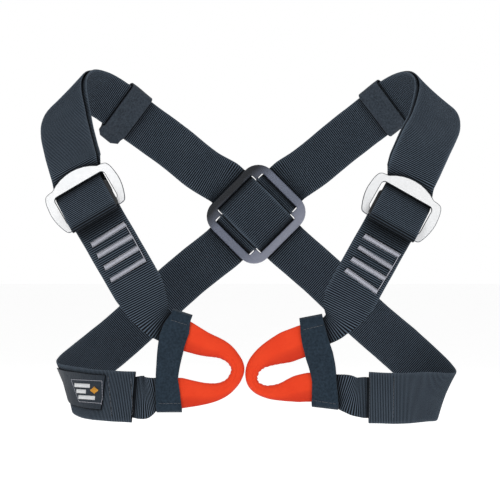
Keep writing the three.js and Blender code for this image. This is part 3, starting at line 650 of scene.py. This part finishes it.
@dataclass
class Run:
    """Stations of a flat strip: its middle, the lines across it and off its face, and its width."""

    middle: np.ndarray
    across: np.ndarray
    face: np.ndarray
    width: np.ndarray
    along: np.ndarray

    @classmethod
    def of(cls, node: str, begins: Vector, face: Vector, step: float, cut: float = BEND_CUT) -> Run:
        """Reads a strip's solid and samples it evenly.

        Args:
            node: the CAD node's name.
            begins: a point near the strip's first end.
            face: which way the strip's face points at that end.
            step: distance between stations.
            cut: how far from a bend its rounding may start.

        Returns:
            The stations.
        """
        rings = SolidRings(node, 4).starting_near(begins).points
        if np.linalg.norm(rings[0][0] - rings[0][1]) > np.linalg.norm(rings[0][1] - rings[0][2]):
            rings = np.roll(rings, 1, axis=1)
        one, other = rings[:, :2].mean(1), rings[:, 2:].mean(1)
        front = rings[:, [0, 3]].mean(1) - rings[:, [1, 2]].mean(1)
        sign = 1.0 if front[0] @ np.array(face) > 0 else -1.0
        width = np.linalg.norm(one - other, axis=1, keepdims=True)
        controls = np.hstack([(one + other) / 2, unit(one - other), unit(front) * sign, width])
        path, lengths = rounded_path(controls, cut)
        count = max(int(round(lengths[-1] / step)), 2)
        along = np.linspace(0.0, lengths[-1], count + 1)
        rows = np.stack([np.interp(along, lengths, path[:, k]) for k in range(10)], axis=1)
        ahead = unit(np.gradient(rows[:, :3], axis=0))
        across = unit(rows[:, 3:6])
        off = unit(np.cross(ahead, across))
        off *= np.sign(np.sum(off * rows[:, 6:9], axis=1, keepdims=True))
        return cls(rows[:, :3], across, off, rows[:, 9], along)

    def creases(self, reach: float, gentle: float = 55.0, sharp: float = 330.0) -> np.ndarray:
        """Finds how sharply the strip is folded at each station.

        Args:
            reach: how far a fold is felt along the strip.
            gentle: radians a metre that leave no crease.
            sharp: radians a metre that crease it fully.

        Returns:
            A share from 0 to 1 for each station.
        """
        step = self.along[1] - self.along[0]
        turn = np.linalg.norm(np.gradient(self.face, axis=0), axis=1) / step
        places = np.arange(-3 * reach, 3 * reach, step)
        weights = np.exp(-0.5 * (places / reach) ** 2)
        felt = np.convolve(turn, weights / weights.sum(), mode="same")
        return np.clip((felt - gentle) / (sharp - gentle), 0.0, 1.0)


def object_of(name: str, mesh: bpy.types.Mesh, material: bpy.types.Material, slot: Slot,
              *nodes: str, edge: bpy.types.Material | None = None) -> bpy.types.Object:
    """Makes a piece of the harness of a mesh.

    Args:
        name: the piece's name.
        mesh: its mesh, in place.
        material: its finish.
        slot: a slot for it; not used.
        nodes: the CAD nodes that it stands for.
        edge: a second finish, for the faces whose material index is 1.

    Returns:
        The piece.
    """
    piece = bpy.data.objects.new(name, mesh)
    bpy.context.scene.collection.objects.link(piece)
    mesh.materials.append(material)
    if edge:
        mesh.materials.append(edge)
    mesh.shade_smooth()
    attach(piece, BODY)
    if nodes:
        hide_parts(*nodes)
    return piece


def wrapped_grid(name: str, places: np.ndarray, runs: np.ndarray) -> bpy.types.Mesh:
    """Wraps a grid round a strip as a closed body.

    Args:
        name: the mesh's name.
        places: (station, corner, 3), the corners round each station.
        runs: the same for the run attribute.

    Returns:
        The mesh.
    """
    stations, corners = places.shape[:2]
    work = bmesh.new()
    bmesh.ops.create_grid(work, x_segments=stations - 1, y_segments=corners, size=0.5)
    mesh = bpy.data.meshes.new(name)
    work.to_mesh(mesh)
    work.free()
    flat = np.empty(len(mesh.vertices) * 3, np.float32)
    mesh.vertices.foreach_get("co", flat)
    flat = flat.reshape(-1, 3) + 0.5
    row = np.rint(flat[:, 0] * (stations - 1)).astype(int)
    column = np.rint(flat[:, 1] * corners).astype(int) % corners
    mesh.vertices.foreach_set("co", places[row, column].astype(np.float32).ravel())
    attribute = mesh.attributes.new("run", "FLOAT_VECTOR", "POINT")
    attribute.data.foreach_set("vector", runs[row, column].astype(np.float32).ravel())
    work = bmesh.new()
    work.from_mesh(mesh)
    bmesh.ops.remove_doubles(work, verts=work.verts, dist=FINE_WELD)
    rims = [edge for edge in work.edges if edge.is_boundary]
    bmesh.ops.holes_fill(work, edges=rims, sides=0)
    bmesh.ops.recalc_face_normals(work, faces=work.faces)
    work.to_mesh(mesh)
    work.free()
    return mesh


@dataclass
class Ribbon:
    """A strip of woven webbing with its ribs, its rounded edges and a slight waviness."""

    name: str
    begins: Vector
    face: Vector
    thickness: float = 0.002
    pitch: float = RIB_PITCH
    rib_depth: float = 0.00030
    wave_depth: float = 0.00016
    wave_length: float = 0.043
    scallop: float = 0.00016
    crease_reach: float = 0.0034
    per_rib: int = 4
    swell: Swell = (0.0, 1.0, 0.0)
    # The section: places across half of it, how thick it is there, and how deep ribs go there
    shares: tuple[float, ...] = (1.0, 0.985, 0.93, 0.84, 0.62, 0.32)
    lifts: tuple[float, ...] = (0.30, 0.74, 0.97, 1.0, 1.0, 1.0)
    inner: tuple[float, ...] = (0.0, 0.3, 0.9, 1.0, 1.0, 1.0)

    def build(self, material: bpy.types.Material) -> bpy.types.Object:
        """Builds the strip in place of its CAD node.

        Args:
            material: the webbing's finish.

        Returns:
            The piece.
        """
        run = Run.of(self.name, self.begins, self.face, self.pitch / self.per_rib)
        share = np.array((*(-value for value in self.shares), 0.0, *self.shares[::-1]))
        share = np.concatenate([share, share[::-1]])
        lift = np.array((*self.lifts, 1.0, *self.lifts[::-1]))
        lift = np.concatenate([lift, -lift])
        inner = np.tile((*self.inner, 1.0, *self.inner[::-1]), 2)
        rib = 0.5 - 0.5 * np.cos(2 * math.pi * run.along / self.pitch)
        slow = 2 * math.pi * run.along / self.wave_length
        wave = 0.5 + 0.25 * np.sin(slow) + 0.25 * np.sin(1.7 * slow + 1.3)
        sunk = self.rib_depth * rib[:, None] * inner + self.wave_depth * wave[:, None] * inner
        height = np.sign(lift) * (np.abs(lift) * self.thickness / 2 - sunk)
        place, reach, extra = self.swell
        swollen = extra * np.exp(-((run.middle[:, 0] - place) / reach) ** 2)
        half = (run.width / 2 + swollen - self.scallop * rib - self.scallop * wave)[:, None]
        side = half * share
        places = (run.middle[:, None] + run.across[:, None] * side[..., None]
                  + run.face[:, None] * height[..., None])
        # The third column is the fold share, which the webbing's finish turns into painted shade
        runs = np.stack([np.broadcast_to(run.along[:, None], side.shape), side,
                         np.broadcast_to(run.creases(self.crease_reach)[:, None], side.shape)], axis=-1)
        mesh = wrapped_grid(self.name + "_cloth", places, runs)
        return object_of(self.name + "_cloth", mesh, material, Slot.WEBBING, self.name)


@dataclass
class TieLoopSleeve:
    """A tie loop's red sleeve, lofted smoothly through its solid's rings and wrinkled at the tip."""

    side: Side
    corners: int = 16
    step: float = 0.0011
    round_steps: int = 3
    wrinkle_depth: float = 0.00075
    wrinkle_pitch: float = 0.0052
    wrinkle_reach: float = 0.024
    fold_depth: float = 0.0010
    # Where round the sleeve the crease lies, from -1 outside the loop to 1 inside it, and its width
    crease: tuple[float, float] = (0.25, 0.16)
    strengths: dict[Side, float] = field(default_factory=lambda: {Side.RIGHT: 0.6, Side.LEFT: 1.0})
    begins: dict[Side, float] = field(default_factory=lambda: {Side.RIGHT: -0.065, Side.LEFT: 0.055})

    def build(self, finishes: Finishes) -> bpy.types.Object:
        """Builds the sleeve in place of its CAD node.

        Args:
            finishes: the harness's finishes.

        Returns:
            The piece.
        """
        name = f"tie_loop_{self.side.value}"
        begins = Vector((self.begins[self.side], -0.11, -0.215))
        rings = self._finer_round(SolidRings(name, self.corners).starting_near(begins).points)
        controls = np.hstack([rings.mean(1), rings.reshape(len(rings), -1)])
        path, lengths = rounded_path(controls, BEND_CUT)
        samples = np.linspace(0.0, lengths[-1], int(lengths[-1] / self.step) + 1)
        rows = np.stack([np.interp(samples, lengths, path[:, k]) for k in range(path.shape[1])], axis=1)
        middle = rows[:, :3]
        points = rows[:, 3:].reshape(len(rows), -1, 3)
        outward = unit(points - middle[:, None])
        points = points - outward * self._sunk(samples, middle, outward)[..., None]
        # How much painted shade each point gets: most where the sleeve faces down and outwards
        under = np.clip(0.1 - 0.5 * outward[..., 2] + 0.35 * outward[..., 1], 0.0, 1.0)
        round_way = np.cumsum(np.linalg.norm(np.roll(points, -1, axis=1) - points, axis=2), axis=1)
        runs = np.stack([np.broadcast_to(samples[:, None], under.shape), round_way, under], axis=-1)
        mesh = wrapped_grid(name + "_sleeve", points, runs)
        return object_of(name + "_sleeve", mesh, finishes.sleeve, Slot.SLEEVE, name)

    def _sunk(self, samples: np.ndarray, middle: np.ndarray, outward: np.ndarray) -> np.ndarray:
        """Works out the wrinkles and the crease near the loop's tip.

        Args:
            samples: how far along the sleeve each ring is.
            middle: the rings' middles.
            outward: the lines from each middle to its ring's points.

        Returns:
            How far each point is sunk.
        """
        tip = middle[np.argmin(np.abs(middle[:, 0]))]
        inner = unit(np.array([np.mean(middle[:, 0]), tip[1], tip[2]]) - middle)
        towards = np.einsum("sck,sk->sc", outward, inner)
        near = np.exp(-(np.linalg.norm(middle - tip, axis=1) / self.wrinkle_reach) ** 2)[:, None]
        phase = 2 * math.pi * samples[:, None] / self.wrinkle_pitch
        uneven = phase + 0.9 * np.sin(3 * towards) + 0.6 * np.sin(0.37 * phase)
        wrinkle = (0.5 + 0.5 * np.cos(uneven)) * np.clip(0.35 + 0.65 * towards, 0.0, 1.0)
        place, width = self.crease
        creased = self.fold_depth * np.exp(-((towards - place) / width) ** 2)
        return (self.strengths[self.side] * self.wrinkle_depth * wrinkle + creased) * near

    def _finer_round(self, rings: np.ndarray) -> np.ndarray:
        """Puts more corners on the rings, on a smooth curve through their edges' middles.

        Args:
            rings: the solid's rings.

        Returns:
            The finer rings.
        """
        fine = []
        before, after = np.roll(rings, 1, axis=1), np.roll(rings, -1, axis=1)
        for step in range(self.round_steps):
            share = (step + 0.5) / self.round_steps
            enter, leave = (before + rings) / 2, (rings + after) / 2
            fine.append((1 - share) ** 2 * enter + 2 * share * (1 - share) * rings + share ** 2 * leave)
        return np.stack(fine, axis=2).reshape(len(rings), -1, 3)


@dataclass
class SoftCopy:
    """A small piece made from a copy of its CAD solid, with rounded edges."""

    node: str
    name: str
    slot: Slot
    round_by: float
    sharp: float = 38.0
    dissolve: float = 0.0
    segments: int = 3
    pairing: float = 60.0

    def build(self, material: bpy.types.Material,
              edge: bpy.types.Material | None = None) -> bpy.types.Object:
        """Builds the piece in place of its CAD node.

        Args:
            material: its finish.
            edge: another finish, painted shade for the bevels and sides between its two large faces.

        Returns:
            The piece.
        """
        work = bmesh.new()
        work.from_mesh(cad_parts[self.node].data)
        bmesh.ops.remove_doubles(work, verts=work.verts, dist=WELD)
        if self.dissolve:
            bmesh.ops.dissolve_limit(
                work, angle_limit=math.radians(self.dissolve), verts=work.verts, edges=work.edges)
        else:
            bmesh.ops.join_triangles(
                work, faces=work.faces, angle_face_threshold=math.radians(self.pairing),
                angle_shape_threshold=math.radians(self.pairing))
        # Faces that don't lie along the large faces take the second finish, which paints shade on them
        if edge:
            flat = max(work.faces, key=lambda face: face.calc_area()).normal.copy()
            for face in work.faces:
                face.material_index = int(abs(face.normal.dot(flat)) < FACE_ON)
        mesh = bpy.data.meshes.new(self.name)
        work.to_mesh(mesh)
        work.free()
        piece = object_of(self.name, mesh, material, self.slot, self.node, edge=edge)
        bevel = piece.modifiers.new("round", "BEVEL")
        bevel.width = self.round_by
        bevel.segments = self.segments
        bevel.limit_method = "ANGLE"
        bevel.angle_limit = math.radians(self.sharp)
        piece.modifiers.new("flat", "WEIGHTED_NORMAL").keep_sharp = True
        return piece


@dataclass
class Sight:
    """The photograph's camera, which places a detail on the surface that it is seen on."""

    focal: float = 1941.0
    frame_size: float = 500.0
    distance: float = 1.789
    height: float = -0.144
    sensor: float = 36.0
    far_clip: float = 20.0
    chest_depth: float = 0.105

    def eye(self) -> Vector:
        """Returns where the camera stands."""
        return Vector((0.0, -self.distance, self.height))

    def look(self, pixel: Pixel) -> Vector:
        """Returns the direction from the camera through a pixel."""
        half = self.frame_size / 2
        return Vector((pixel[0] - half, self.focal, half - pixel[1])).normalized()

    def camera(self) -> bpy.types.Object:
        """Makes the scene's camera.

        Returns:
            The camera.
        """
        data = bpy.data.cameras.new("camera")
        data.sensor_width = self.sensor
        data.lens = self.focal / self.frame_size * self.sensor
        data.clip_end = self.far_clip
        camera = bpy.data.objects.new("camera", data)
        camera.location = self.eye()
        camera.rotation_euler = (math.pi / 2, 0.0, 0.0)
        bpy.context.scene.collection.objects.link(camera)
        bpy.context.scene.camera = camera
        return camera


def pixel_between(first: Pixel, last: Pixel, share: float) -> Pixel:
    """Returns the place a share of the way from first to last."""
    return tuple(a + (b - a) * share for a, b in zip(first, last))


class Stitching:
    """Threads laid on a piece, where the photograph's camera sees them."""

    LIFT = 1.2
    UNEVEN = 0.05
    UNEVEN_TURN = 2.3
    MARGIN = 0.1

    def __init__(self, name: str, carrier: bpy.types.Object, sight: Sight) -> None:
        """Starts a stitched piece.

        Args:
            name: the piece's name.
            carrier: the piece that is sewn.
            sight: the photograph's camera.
        """
        self.name = name
        self.sight = sight
        self.work = bmesh.new()
        bpy.context.view_layer.update()
        self.tree = BVHTree.FromObject(carrier, bpy.context.evaluated_depsgraph_get())

    def seen(self, pixel: Pixel) -> tuple[Vector, Vector]:
        """Returns the point and normal seen at a pixel, or nearest to it.

        Args:
            pixel: place in the photograph.

        Returns:
            The point on the carrier, and the carrier's normal towards the camera.
        """
        look = self.sight.look(pixel)
        point, normal, _, _ = self.tree.ray_cast(self.sight.eye(), look)
        if point is None:
            ahead = self.sight.eye() + look * (self.sight.distance - self.sight.chest_depth) / look.y
            point, normal, _, _ = self.tree.find_nearest(ahead)
        if normal.dot(look) > 0:
            normal = -normal
        return point, normal

    def thread(self, start: Vector, end: Vector, radius: float, sides: int = 6) -> None:
        """Lays one straight stitch.

        Args:
            start: its start.
            end: its end.
            radius: the thread's radius.
            sides: how many sides the thread has.
        """
        way = end - start
        turn = way.to_track_quat("Z", "Y").to_matrix().to_4x4()
        place = Matrix.Translation((start + end) / 2) @ turn
        bmesh.ops.create_cone(
            self.work, cap_ends=True, segments=sides, radius1=radius, radius2=radius,
            depth=way.length, matrix=place)

    def bar(self, first: Pixel, last: Pixel, height: float, pitch: float = 0.00052,
            radius: float = 0.00030, skew: float = 0.00035) -> None:
        """Sews a dense bar of stitches that lie across it.

        Args:
            first: one end of the bar's middle line.
            last: its other end.
            height: how long each stitch is.
            pitch: distance between stitches.
            radius: the thread's radius.
            skew: how far each stitch slants.
        """
        (start, normal), (end, other) = self.seen(first), self.seen(last)
        lift = (normal + other).normalized()
        count = max(int((end - start).length / pitch), 2)
        ahead = (end - start).normalized()
        across = lift.cross(ahead).normalized()
        for index in range(count + 1):
            share = index / count
            middle = start.lerp(end, share)
            cloth, _ = self.seen(pixel_between(first, last, share))
            middle += lift * (max((cloth - middle).dot(lift), 0.0) + radius * self.LIFT)
            half = height / 2 * (1 + self.UNEVEN * math.sin(self.UNEVEN_TURN * index))
            reach = across * half + ahead * skew * (-1) ** index
            self.thread(middle - reach, middle + reach, radius)

    def row(self, pixels: Sequence[Pixel], stitch: float = 0.0026, gap: float = 0.0009,
            radius: float = 0.00024, rise: float = 0.2) -> None:
        """Sews a row of single stitches along a line.

        Args:
            pixels: the line's corners in the photograph.
            stitch: length of one stitch.
            gap: distance between stitches.
            radius: the thread's radius.
            rise: how far the stitches' ends stand off the cloth, as a share of the radius.
        """
        for first, last in zip(pixels, pixels[1:]):
            (start, _), (end, _) = self.seen(first), self.seen(last)
            count = max(int((end - start).length / (stitch + gap)), 1)
            for index in range(count):
                ends = []
                for place in (index + self.MARGIN, index + 1 - self.MARGIN):
                    point, normal = self.seen(pixel_between(first, last, place / count))
                    ends.append(point + normal * radius * rise)
                self.thread(ends[0], ends[1], radius)

    def finish(self, material: bpy.types.Material, slot: Slot) -> bpy.types.Object:
        """Makes the stitches one piece.

        Args:
            material: the thread's finish.
            slot: a slot for it, passed on to object_of.

        Returns:
            The piece.
        """
        mesh = bpy.data.meshes.new(self.name)
        self.work.to_mesh(mesh)
        self.work.free()
        return object_of(self.name, mesh, material, slot)


@dataclass
class ShoulderStraps:
    """The webbing over both shoulders, through the plate and the buckles."""

    finishes: Finishes
    swell: Swell = (0.006, 0.026, 0.0013)
    starts: dict[Side, Vector] = field(default_factory=lambda: {
        Side.RIGHT: Vector((0.026, 0.113, -0.136)), Side.LEFT: Vector((-0.02, 0.113, -0.138))})

    def build(self) -> list[bpy.types.Object]:
        """Builds both straps.

        Returns:
            The straps.
        """
        made = []
        for side in Side:
            ribbon = Ribbon(f"shoulder_webbing_{side.value}", self.starts[side], OUTWARDS, swell=self.swell)
            made.append(ribbon.build(self.finishes.webbing))
        return made


@dataclass
class SideStraps:
    """The webbing from the plate round the wearer's sides to the chest."""

    finishes: Finishes
    swell: Swell = (0.006, 0.026, 0.0013)
    start: Vector = field(default_factory=lambda: Vector((0.0, 0.113, -0.14)))

    def build(self) -> dict[Side, bpy.types.Object]:
        """Builds both straps.

        Returns:
            The straps by side.
        """
        return {
            side: Ribbon(f"side_webbing_{side.value}", self.start, OUTWARDS, swell=self.swell).build(
                self.finishes.webbing)
            for side in Side
        }


@dataclass
class FrontStraps:
    """The doubled webbing below each buckle, with its bar tacks, and the webbing of the tie loops."""

    finishes: Finishes
    sight: Sight
    tack_height: float = 0.0046
    loop_swell: dict[Side, Swell] = field(default_factory=lambda: {
        Side.RIGHT: (-0.0905, 0.0065, 0.0026), Side.LEFT: (0.0815, 0.0065, 0.0018)})
    # Ends of each bar tack's middle line, in the photograph
    tacks: dict[Side, tuple[tuple[Pixel, Pixel], ...]] = field(default_factory=lambda: {
        Side.RIGHT: (((92, 245), (125, 224)), ((98, 256), (132, 236)),
                     ((105, 268), (138.5, 247.6)), ((111, 280), (145, 259.5))),
        Side.LEFT: (((364.5, 236), (399, 256)), ((359, 247), (392, 268)),
                    ((352, 259), (385, 279)), ((346, 270), (377, 292))),
    })

    def build(self) -> list[bpy.types.Object]:
        """Builds the straps with their stitching.

        Returns:
            Each side's front strap, loop webbing and bar tacks.
        """
        made = []
        for side in Side:
            sign = -1.0 if side is Side.RIGHT else 1.0
            strap = Ribbon(f"front_webbing_{side.value}", Vector((sign * 0.10, -0.10, -0.19)), OUTWARDS)
            loop = Ribbon(
                f"loop_webbing_{side.value}", Vector((sign * 0.12, -0.08, -0.27)), OUTWARDS,
                swell=self.loop_swell[side])
            sewn, looped = strap.build(self.finishes.webbing), loop.build(self.finishes.webbing)
            made += [sewn, looped, self._tacks(side, sewn)]
        return made

    def _tacks(self, side: Side, strap: bpy.types.Object) -> bpy.types.Object:
        """Sews a strap's bar tacks and the thread that joins them.

        Args:
            side: the wearer's side.
            strap: the webbing that they are sewn on.

        Returns:
            The stitched piece.
        """
        sewn = Stitching(f"bar_tacks_{side.value}", strap, self.sight)
        for first, last in self.tacks[side]:
            sewn.bar(first, last, self.tack_height)
        sewn.row([last for _, last in self.tacks[side]], stitch=0.0110, gap=0.0006, radius=0.00030, rise=1.4)
        return sewn.finish(self.finishes.tack_thread, Slot.WEBBING)


@dataclass
class TieLoops:
    """The red tie-in loops and the elastic bands round them."""

    finishes: Finishes
    sight: Sight
    band_round: float = 0.00045
    band_rows: dict[Side, tuple[tuple[Pixel, ...], ...]] = field(default_factory=lambda: {
        Side.RIGHT: (((158.5, 403.5), (181, 403.5)), ((171, 320), (187, 325))),
        Side.LEFT: (((314, 400.5), (336, 404)), ((303, 330), (323, 325))),
    })

    def build(self) -> list[bpy.types.Object]:
        """Builds the loops and bands.

        Returns:
            Each side's sleeve, band and the band's stitches.
        """
        made = []
        for side in Side:
            made.append(TieLoopSleeve(side).build(self.finishes))
            band = SoftCopy(
                f"loop_band_{side.value}", f"elastic_band_{side.value}", Slot.ELASTIC, self.band_round,
            ).build(self.finishes.elastic)
            sewn = Stitching(f"band_stitches_{side.value}", band, self.sight)
            for row in self.band_rows[side]:
                sewn.row(row, stitch=0.0020, gap=0.0008, radius=0.0002)
            made += [band, sewn.finish(self.finishes.dark_thread, Slot.ELASTIC)]
        return made


@dataclass
class Keepers:
    """The sleeves that hold the straps' tails."""

    finishes: Finishes
    rounding: float = 0.0004

    def build(self) -> list[bpy.types.Object]:
        """Builds both keepers.

        Returns:
            The keepers.
        """
        return [
            SoftCopy(f"keeper_{side.value}", f"keeper_sleeve_{side.value}", Slot.KEEPER, self.rounding).build(
                self.finishes.keeper)
            for side in Side
        ]


@dataclass
class Hardware:
    """The back plate, the buckles' frames and their sliders."""

    finishes: Finishes
    plate_round: float = 0.00045
    frame_round: float = 0.00034
    slider_round: float = 0.0003
    sharp: float = 24.0
    dissolve: float = 1.0

    def build(self) -> list[bpy.types.Object]:
        """Builds the hardware.

        Returns:
            The plate, and each side's buckle frame and slider.
        """
        hard = {"sharp": self.sharp, "dissolve": self.dissolve}
        made = [SoftCopy("back_plate", "moulded_back_plate", Slot.PLATE, self.plate_round, **hard).build(
            self.finishes.plate)]
        for side in Side:
            which = side.value
            frame_copy = SoftCopy(
                f"buckle_frame_{which}", f"forged_buckle_{which}", Slot.ALLOY, self.frame_round, **hard)
            slider_copy = SoftCopy(
                f"buckle_slider_{which}", f"coated_slider_{which}", Slot.SLIDER, self.slider_round, **hard)
            made.append(frame_copy.build(self.finishes.alloy, self.finishes.alloy_edge_shade))
            made.append(slider_copy.build(self.finishes.slider))
        return made


@dataclass
class ChestLabel:
    """The stitched patch on the chest strap, with a plain design of bars and a small diamond."""

    finishes: Finishes
    sight: Sight
    border: tuple[Pixel, ...] = ((71, 379.5), (102, 381), (102.5, 403.5), (79, 401.5))
    bars: tuple[tuple[Pixel, Pixel], ...] = (
        ((75, 385), (90, 385.9)), ((77, 391), (86, 391.6)), ((79, 397), (95, 398)))
    diamond: tuple[Pixel, float] = ((94.5, 390.3), 4.4)
    diamond_rows: int = 5
    rounding: float = 0.00012

    def build(self) -> list[bpy.types.Object]:
        """Builds the patch with its stitches.

        Returns:
            The patch, its border, its bars and its diamond.
        """
        patch = SoftCopy("label_patch", "label_cloth", Slot.LABEL, self.rounding).build(self.finishes.label)
        edge = Stitching("label_border", patch, self.sight)
        edge.row([*self.border, self.border[0]], stitch=0.0016, gap=0.0008, radius=0.0002)
        design = Stitching("label_bars", patch, self.sight)
        for first, last in self.bars:
            design.bar(first, last, 0.0034, pitch=0.00042, radius=0.00024, skew=0.0)
        return [
            patch,
            edge.finish(self.finishes.tack_thread, Slot.LABEL),
            design.finish(self.finishes.white_thread, Slot.LABEL),
            self._diamond(patch).finish(self.finishes.gold_thread, Slot.LABEL),
        ]

    def _diamond(self, patch: bpy.types.Object) -> Stitching:
        """Sews the diamond in upright stitches.

        Args:
            patch: the cloth that it is sewn on.

        Returns:
            The stitches.
        """
        sewn = Stitching("label_diamond", patch, self.sight)
        (across, down), reach = self.diamond
        for index in range(1 - self.diamond_rows, self.diamond_rows):
            half = reach * (1 - abs(index) / self.diamond_rows)
            place = across + index * reach / self.diamond_rows
            line = ((place, down - half), (place, down + half))
            sewn.row(line, stitch=1.0, gap=0.0, radius=0.00036, rise=1.0)
        return sewn


@dataclass
class ChestStitching:
    """Rows of thread where the chest straps are sewn to the loop webbing."""

    finishes: Finishes
    sight: Sight
    rows: dict[Side, tuple[tuple[Pixel, ...], ...]] = field(default_factory=lambda: {
        Side.RIGHT: (((108, 376), (112, 416)), ((131, 378), (133, 415))),
        Side.LEFT: (((394, 377), (393, 418)), ((370, 376), (369.5, 419))),
    })

    def build(self, straps: dict[Side, bpy.types.Object]) -> list[bpy.types.Object]:
        """Sews both chest straps.

        Args:
            straps: the side straps, by side.

        Returns:
            The stitched pieces.
        """
        made = []
        for side, strap in straps.items():
            sewn = Stitching(f"chest_stitches_{side.value}", strap, self.sight)
            for row in self.rows[side]:
                sewn.row(row, stitch=0.0024, gap=0.0008)
            made.append(sewn.finish(self.finishes.dark_thread, Slot.WEBBING))
        return made


@dataclass(frozen=True)
class SoftLight:
    """A square light that shines on the harness's middle."""

    name: str
    place: tuple[float, float, float]
    power: float
    size: float
    aim: tuple[float, float, float] = (0.0, 0.0, -0.14)

    def build(self) -> None:
        """Adds the light."""
        data = bpy.data.lights.new(self.name, "AREA")
        data.energy = self.power
        data.size = self.size
        light = bpy.data.objects.new(self.name, data)
        light.location = self.place
        way = Vector(self.aim) - Vector(self.place)
        light.rotation_euler = way.to_track_quat("-Z", "Y").to_euler()
        bpy.context.scene.collection.objects.link(light)


@dataclass
class Studio:
    """A plain pale floor, soft lights and the photograph's camera."""

    floor_height: float = -0.42
    floor_size: float = 14.0
    pale: Colour = (0.92, 0.92, 0.92)
    paler: Colour = (0.95, 0.95, 0.95)
    seen: float = 1.0
    ambient: float = 0.5
    floor_glow: float = 0.5
    speck_scale: float = 6.0
    lights: tuple[SoftLight, ...] = (
        SoftLight("key", (-0.9, -1.7, 1.2), 17.0, 1.0),
        SoftLight("fill", (1.4, -1.5, 0.4), 7.0, 1.0),
        SoftLight("back", (0.2, 1.3, 1.2), 6.0, 1.2),
    )

    def build(self, sight: Sight) -> None:
        """Builds the floor, lights, world and camera.

        Args:
            sight: the photograph's camera.
        """
        self._floor()
        for light in self.lights:
            light.build()
        self._world()
        bpy.context.scene.view_settings.view_transform = "Standard"
        sight.camera()

    def _world(self) -> None:
        """Builds a white backdrop that lights the harness less than it shows."""
        world = bpy.data.worlds.new("studio")
        world.use_nodes = True
        tree = world.node_tree
        path = tree.nodes.new("ShaderNodeLightPath")
        strength = tree.nodes.new("ShaderNodeMath")
        strength.operation = "MULTIPLY_ADD"
        strength.inputs[1].default_value = self.seen - self.ambient
        strength.inputs[2].default_value = self.ambient
        tree.links.new(path.outputs["Is Camera Ray"], strength.inputs[0])
        background = tree.nodes["Background"]
        background.inputs["Color"].default_value = (1.0, 1.0, 1.0, 1.0)
        tree.links.new(strength.outputs[0], background.inputs["Strength"])
        bpy.context.scene.world = world

    def _floor(self) -> None:
        """Builds the floor."""
        work = bmesh.new()
        place = Matrix.Translation((0.0, 0.0, self.floor_height))
        bmesh.ops.create_grid(work, x_segments=1, y_segments=1, size=self.floor_size, matrix=place)
        mesh = bpy.data.meshes.new("floor")
        work.to_mesh(mesh)
        work.free()
        floor = bpy.data.objects.new("floor", mesh)
        bpy.context.scene.collection.objects.link(floor)
        graph = Graph("floor")
        speck = graph.noise(graph.place(), self.speck_scale, 2.0)
        mesh.materials.append(graph.finish(
            graph.mix(speck, self.pale, self.paler), 0.9,
            Emission_Color=(1.0, 1.0, 1.0, 1.0), Emission_Strength=self.floor_glow))


def report(title: str, pieces: Sequence[bpy.types.Object]) -> None:
    """Logs each piece with how many faces it has."""
    for piece in pieces:
        LOG.info("%s: %s, %d faces", title, piece.name, len(piece.data.polygons))


def main() -> None:
    """Builds the harness and its studio."""
    logging.basicConfig(level=logging.INFO, format="%(message)s")
    sight = Sight()
    finishes = Finishes()
    report("hardware", Hardware(finishes).build())
    report("shoulder straps", ShoulderStraps(finishes).build())
    sides = SideStraps(finishes).build()
    report("side straps", list(sides.values()))
    report("front straps", FrontStraps(finishes, sight).build())
    report("keepers", Keepers(finishes).build())
    report("tie loops", TieLoops(finishes, sight).build())
    report("label", ChestLabel(finishes, sight).build())
    report("chest stitching", ChestStitching(finishes, sight).build(sides))
    Studio().build(sight)


if __name__ == "__main__":
    main()
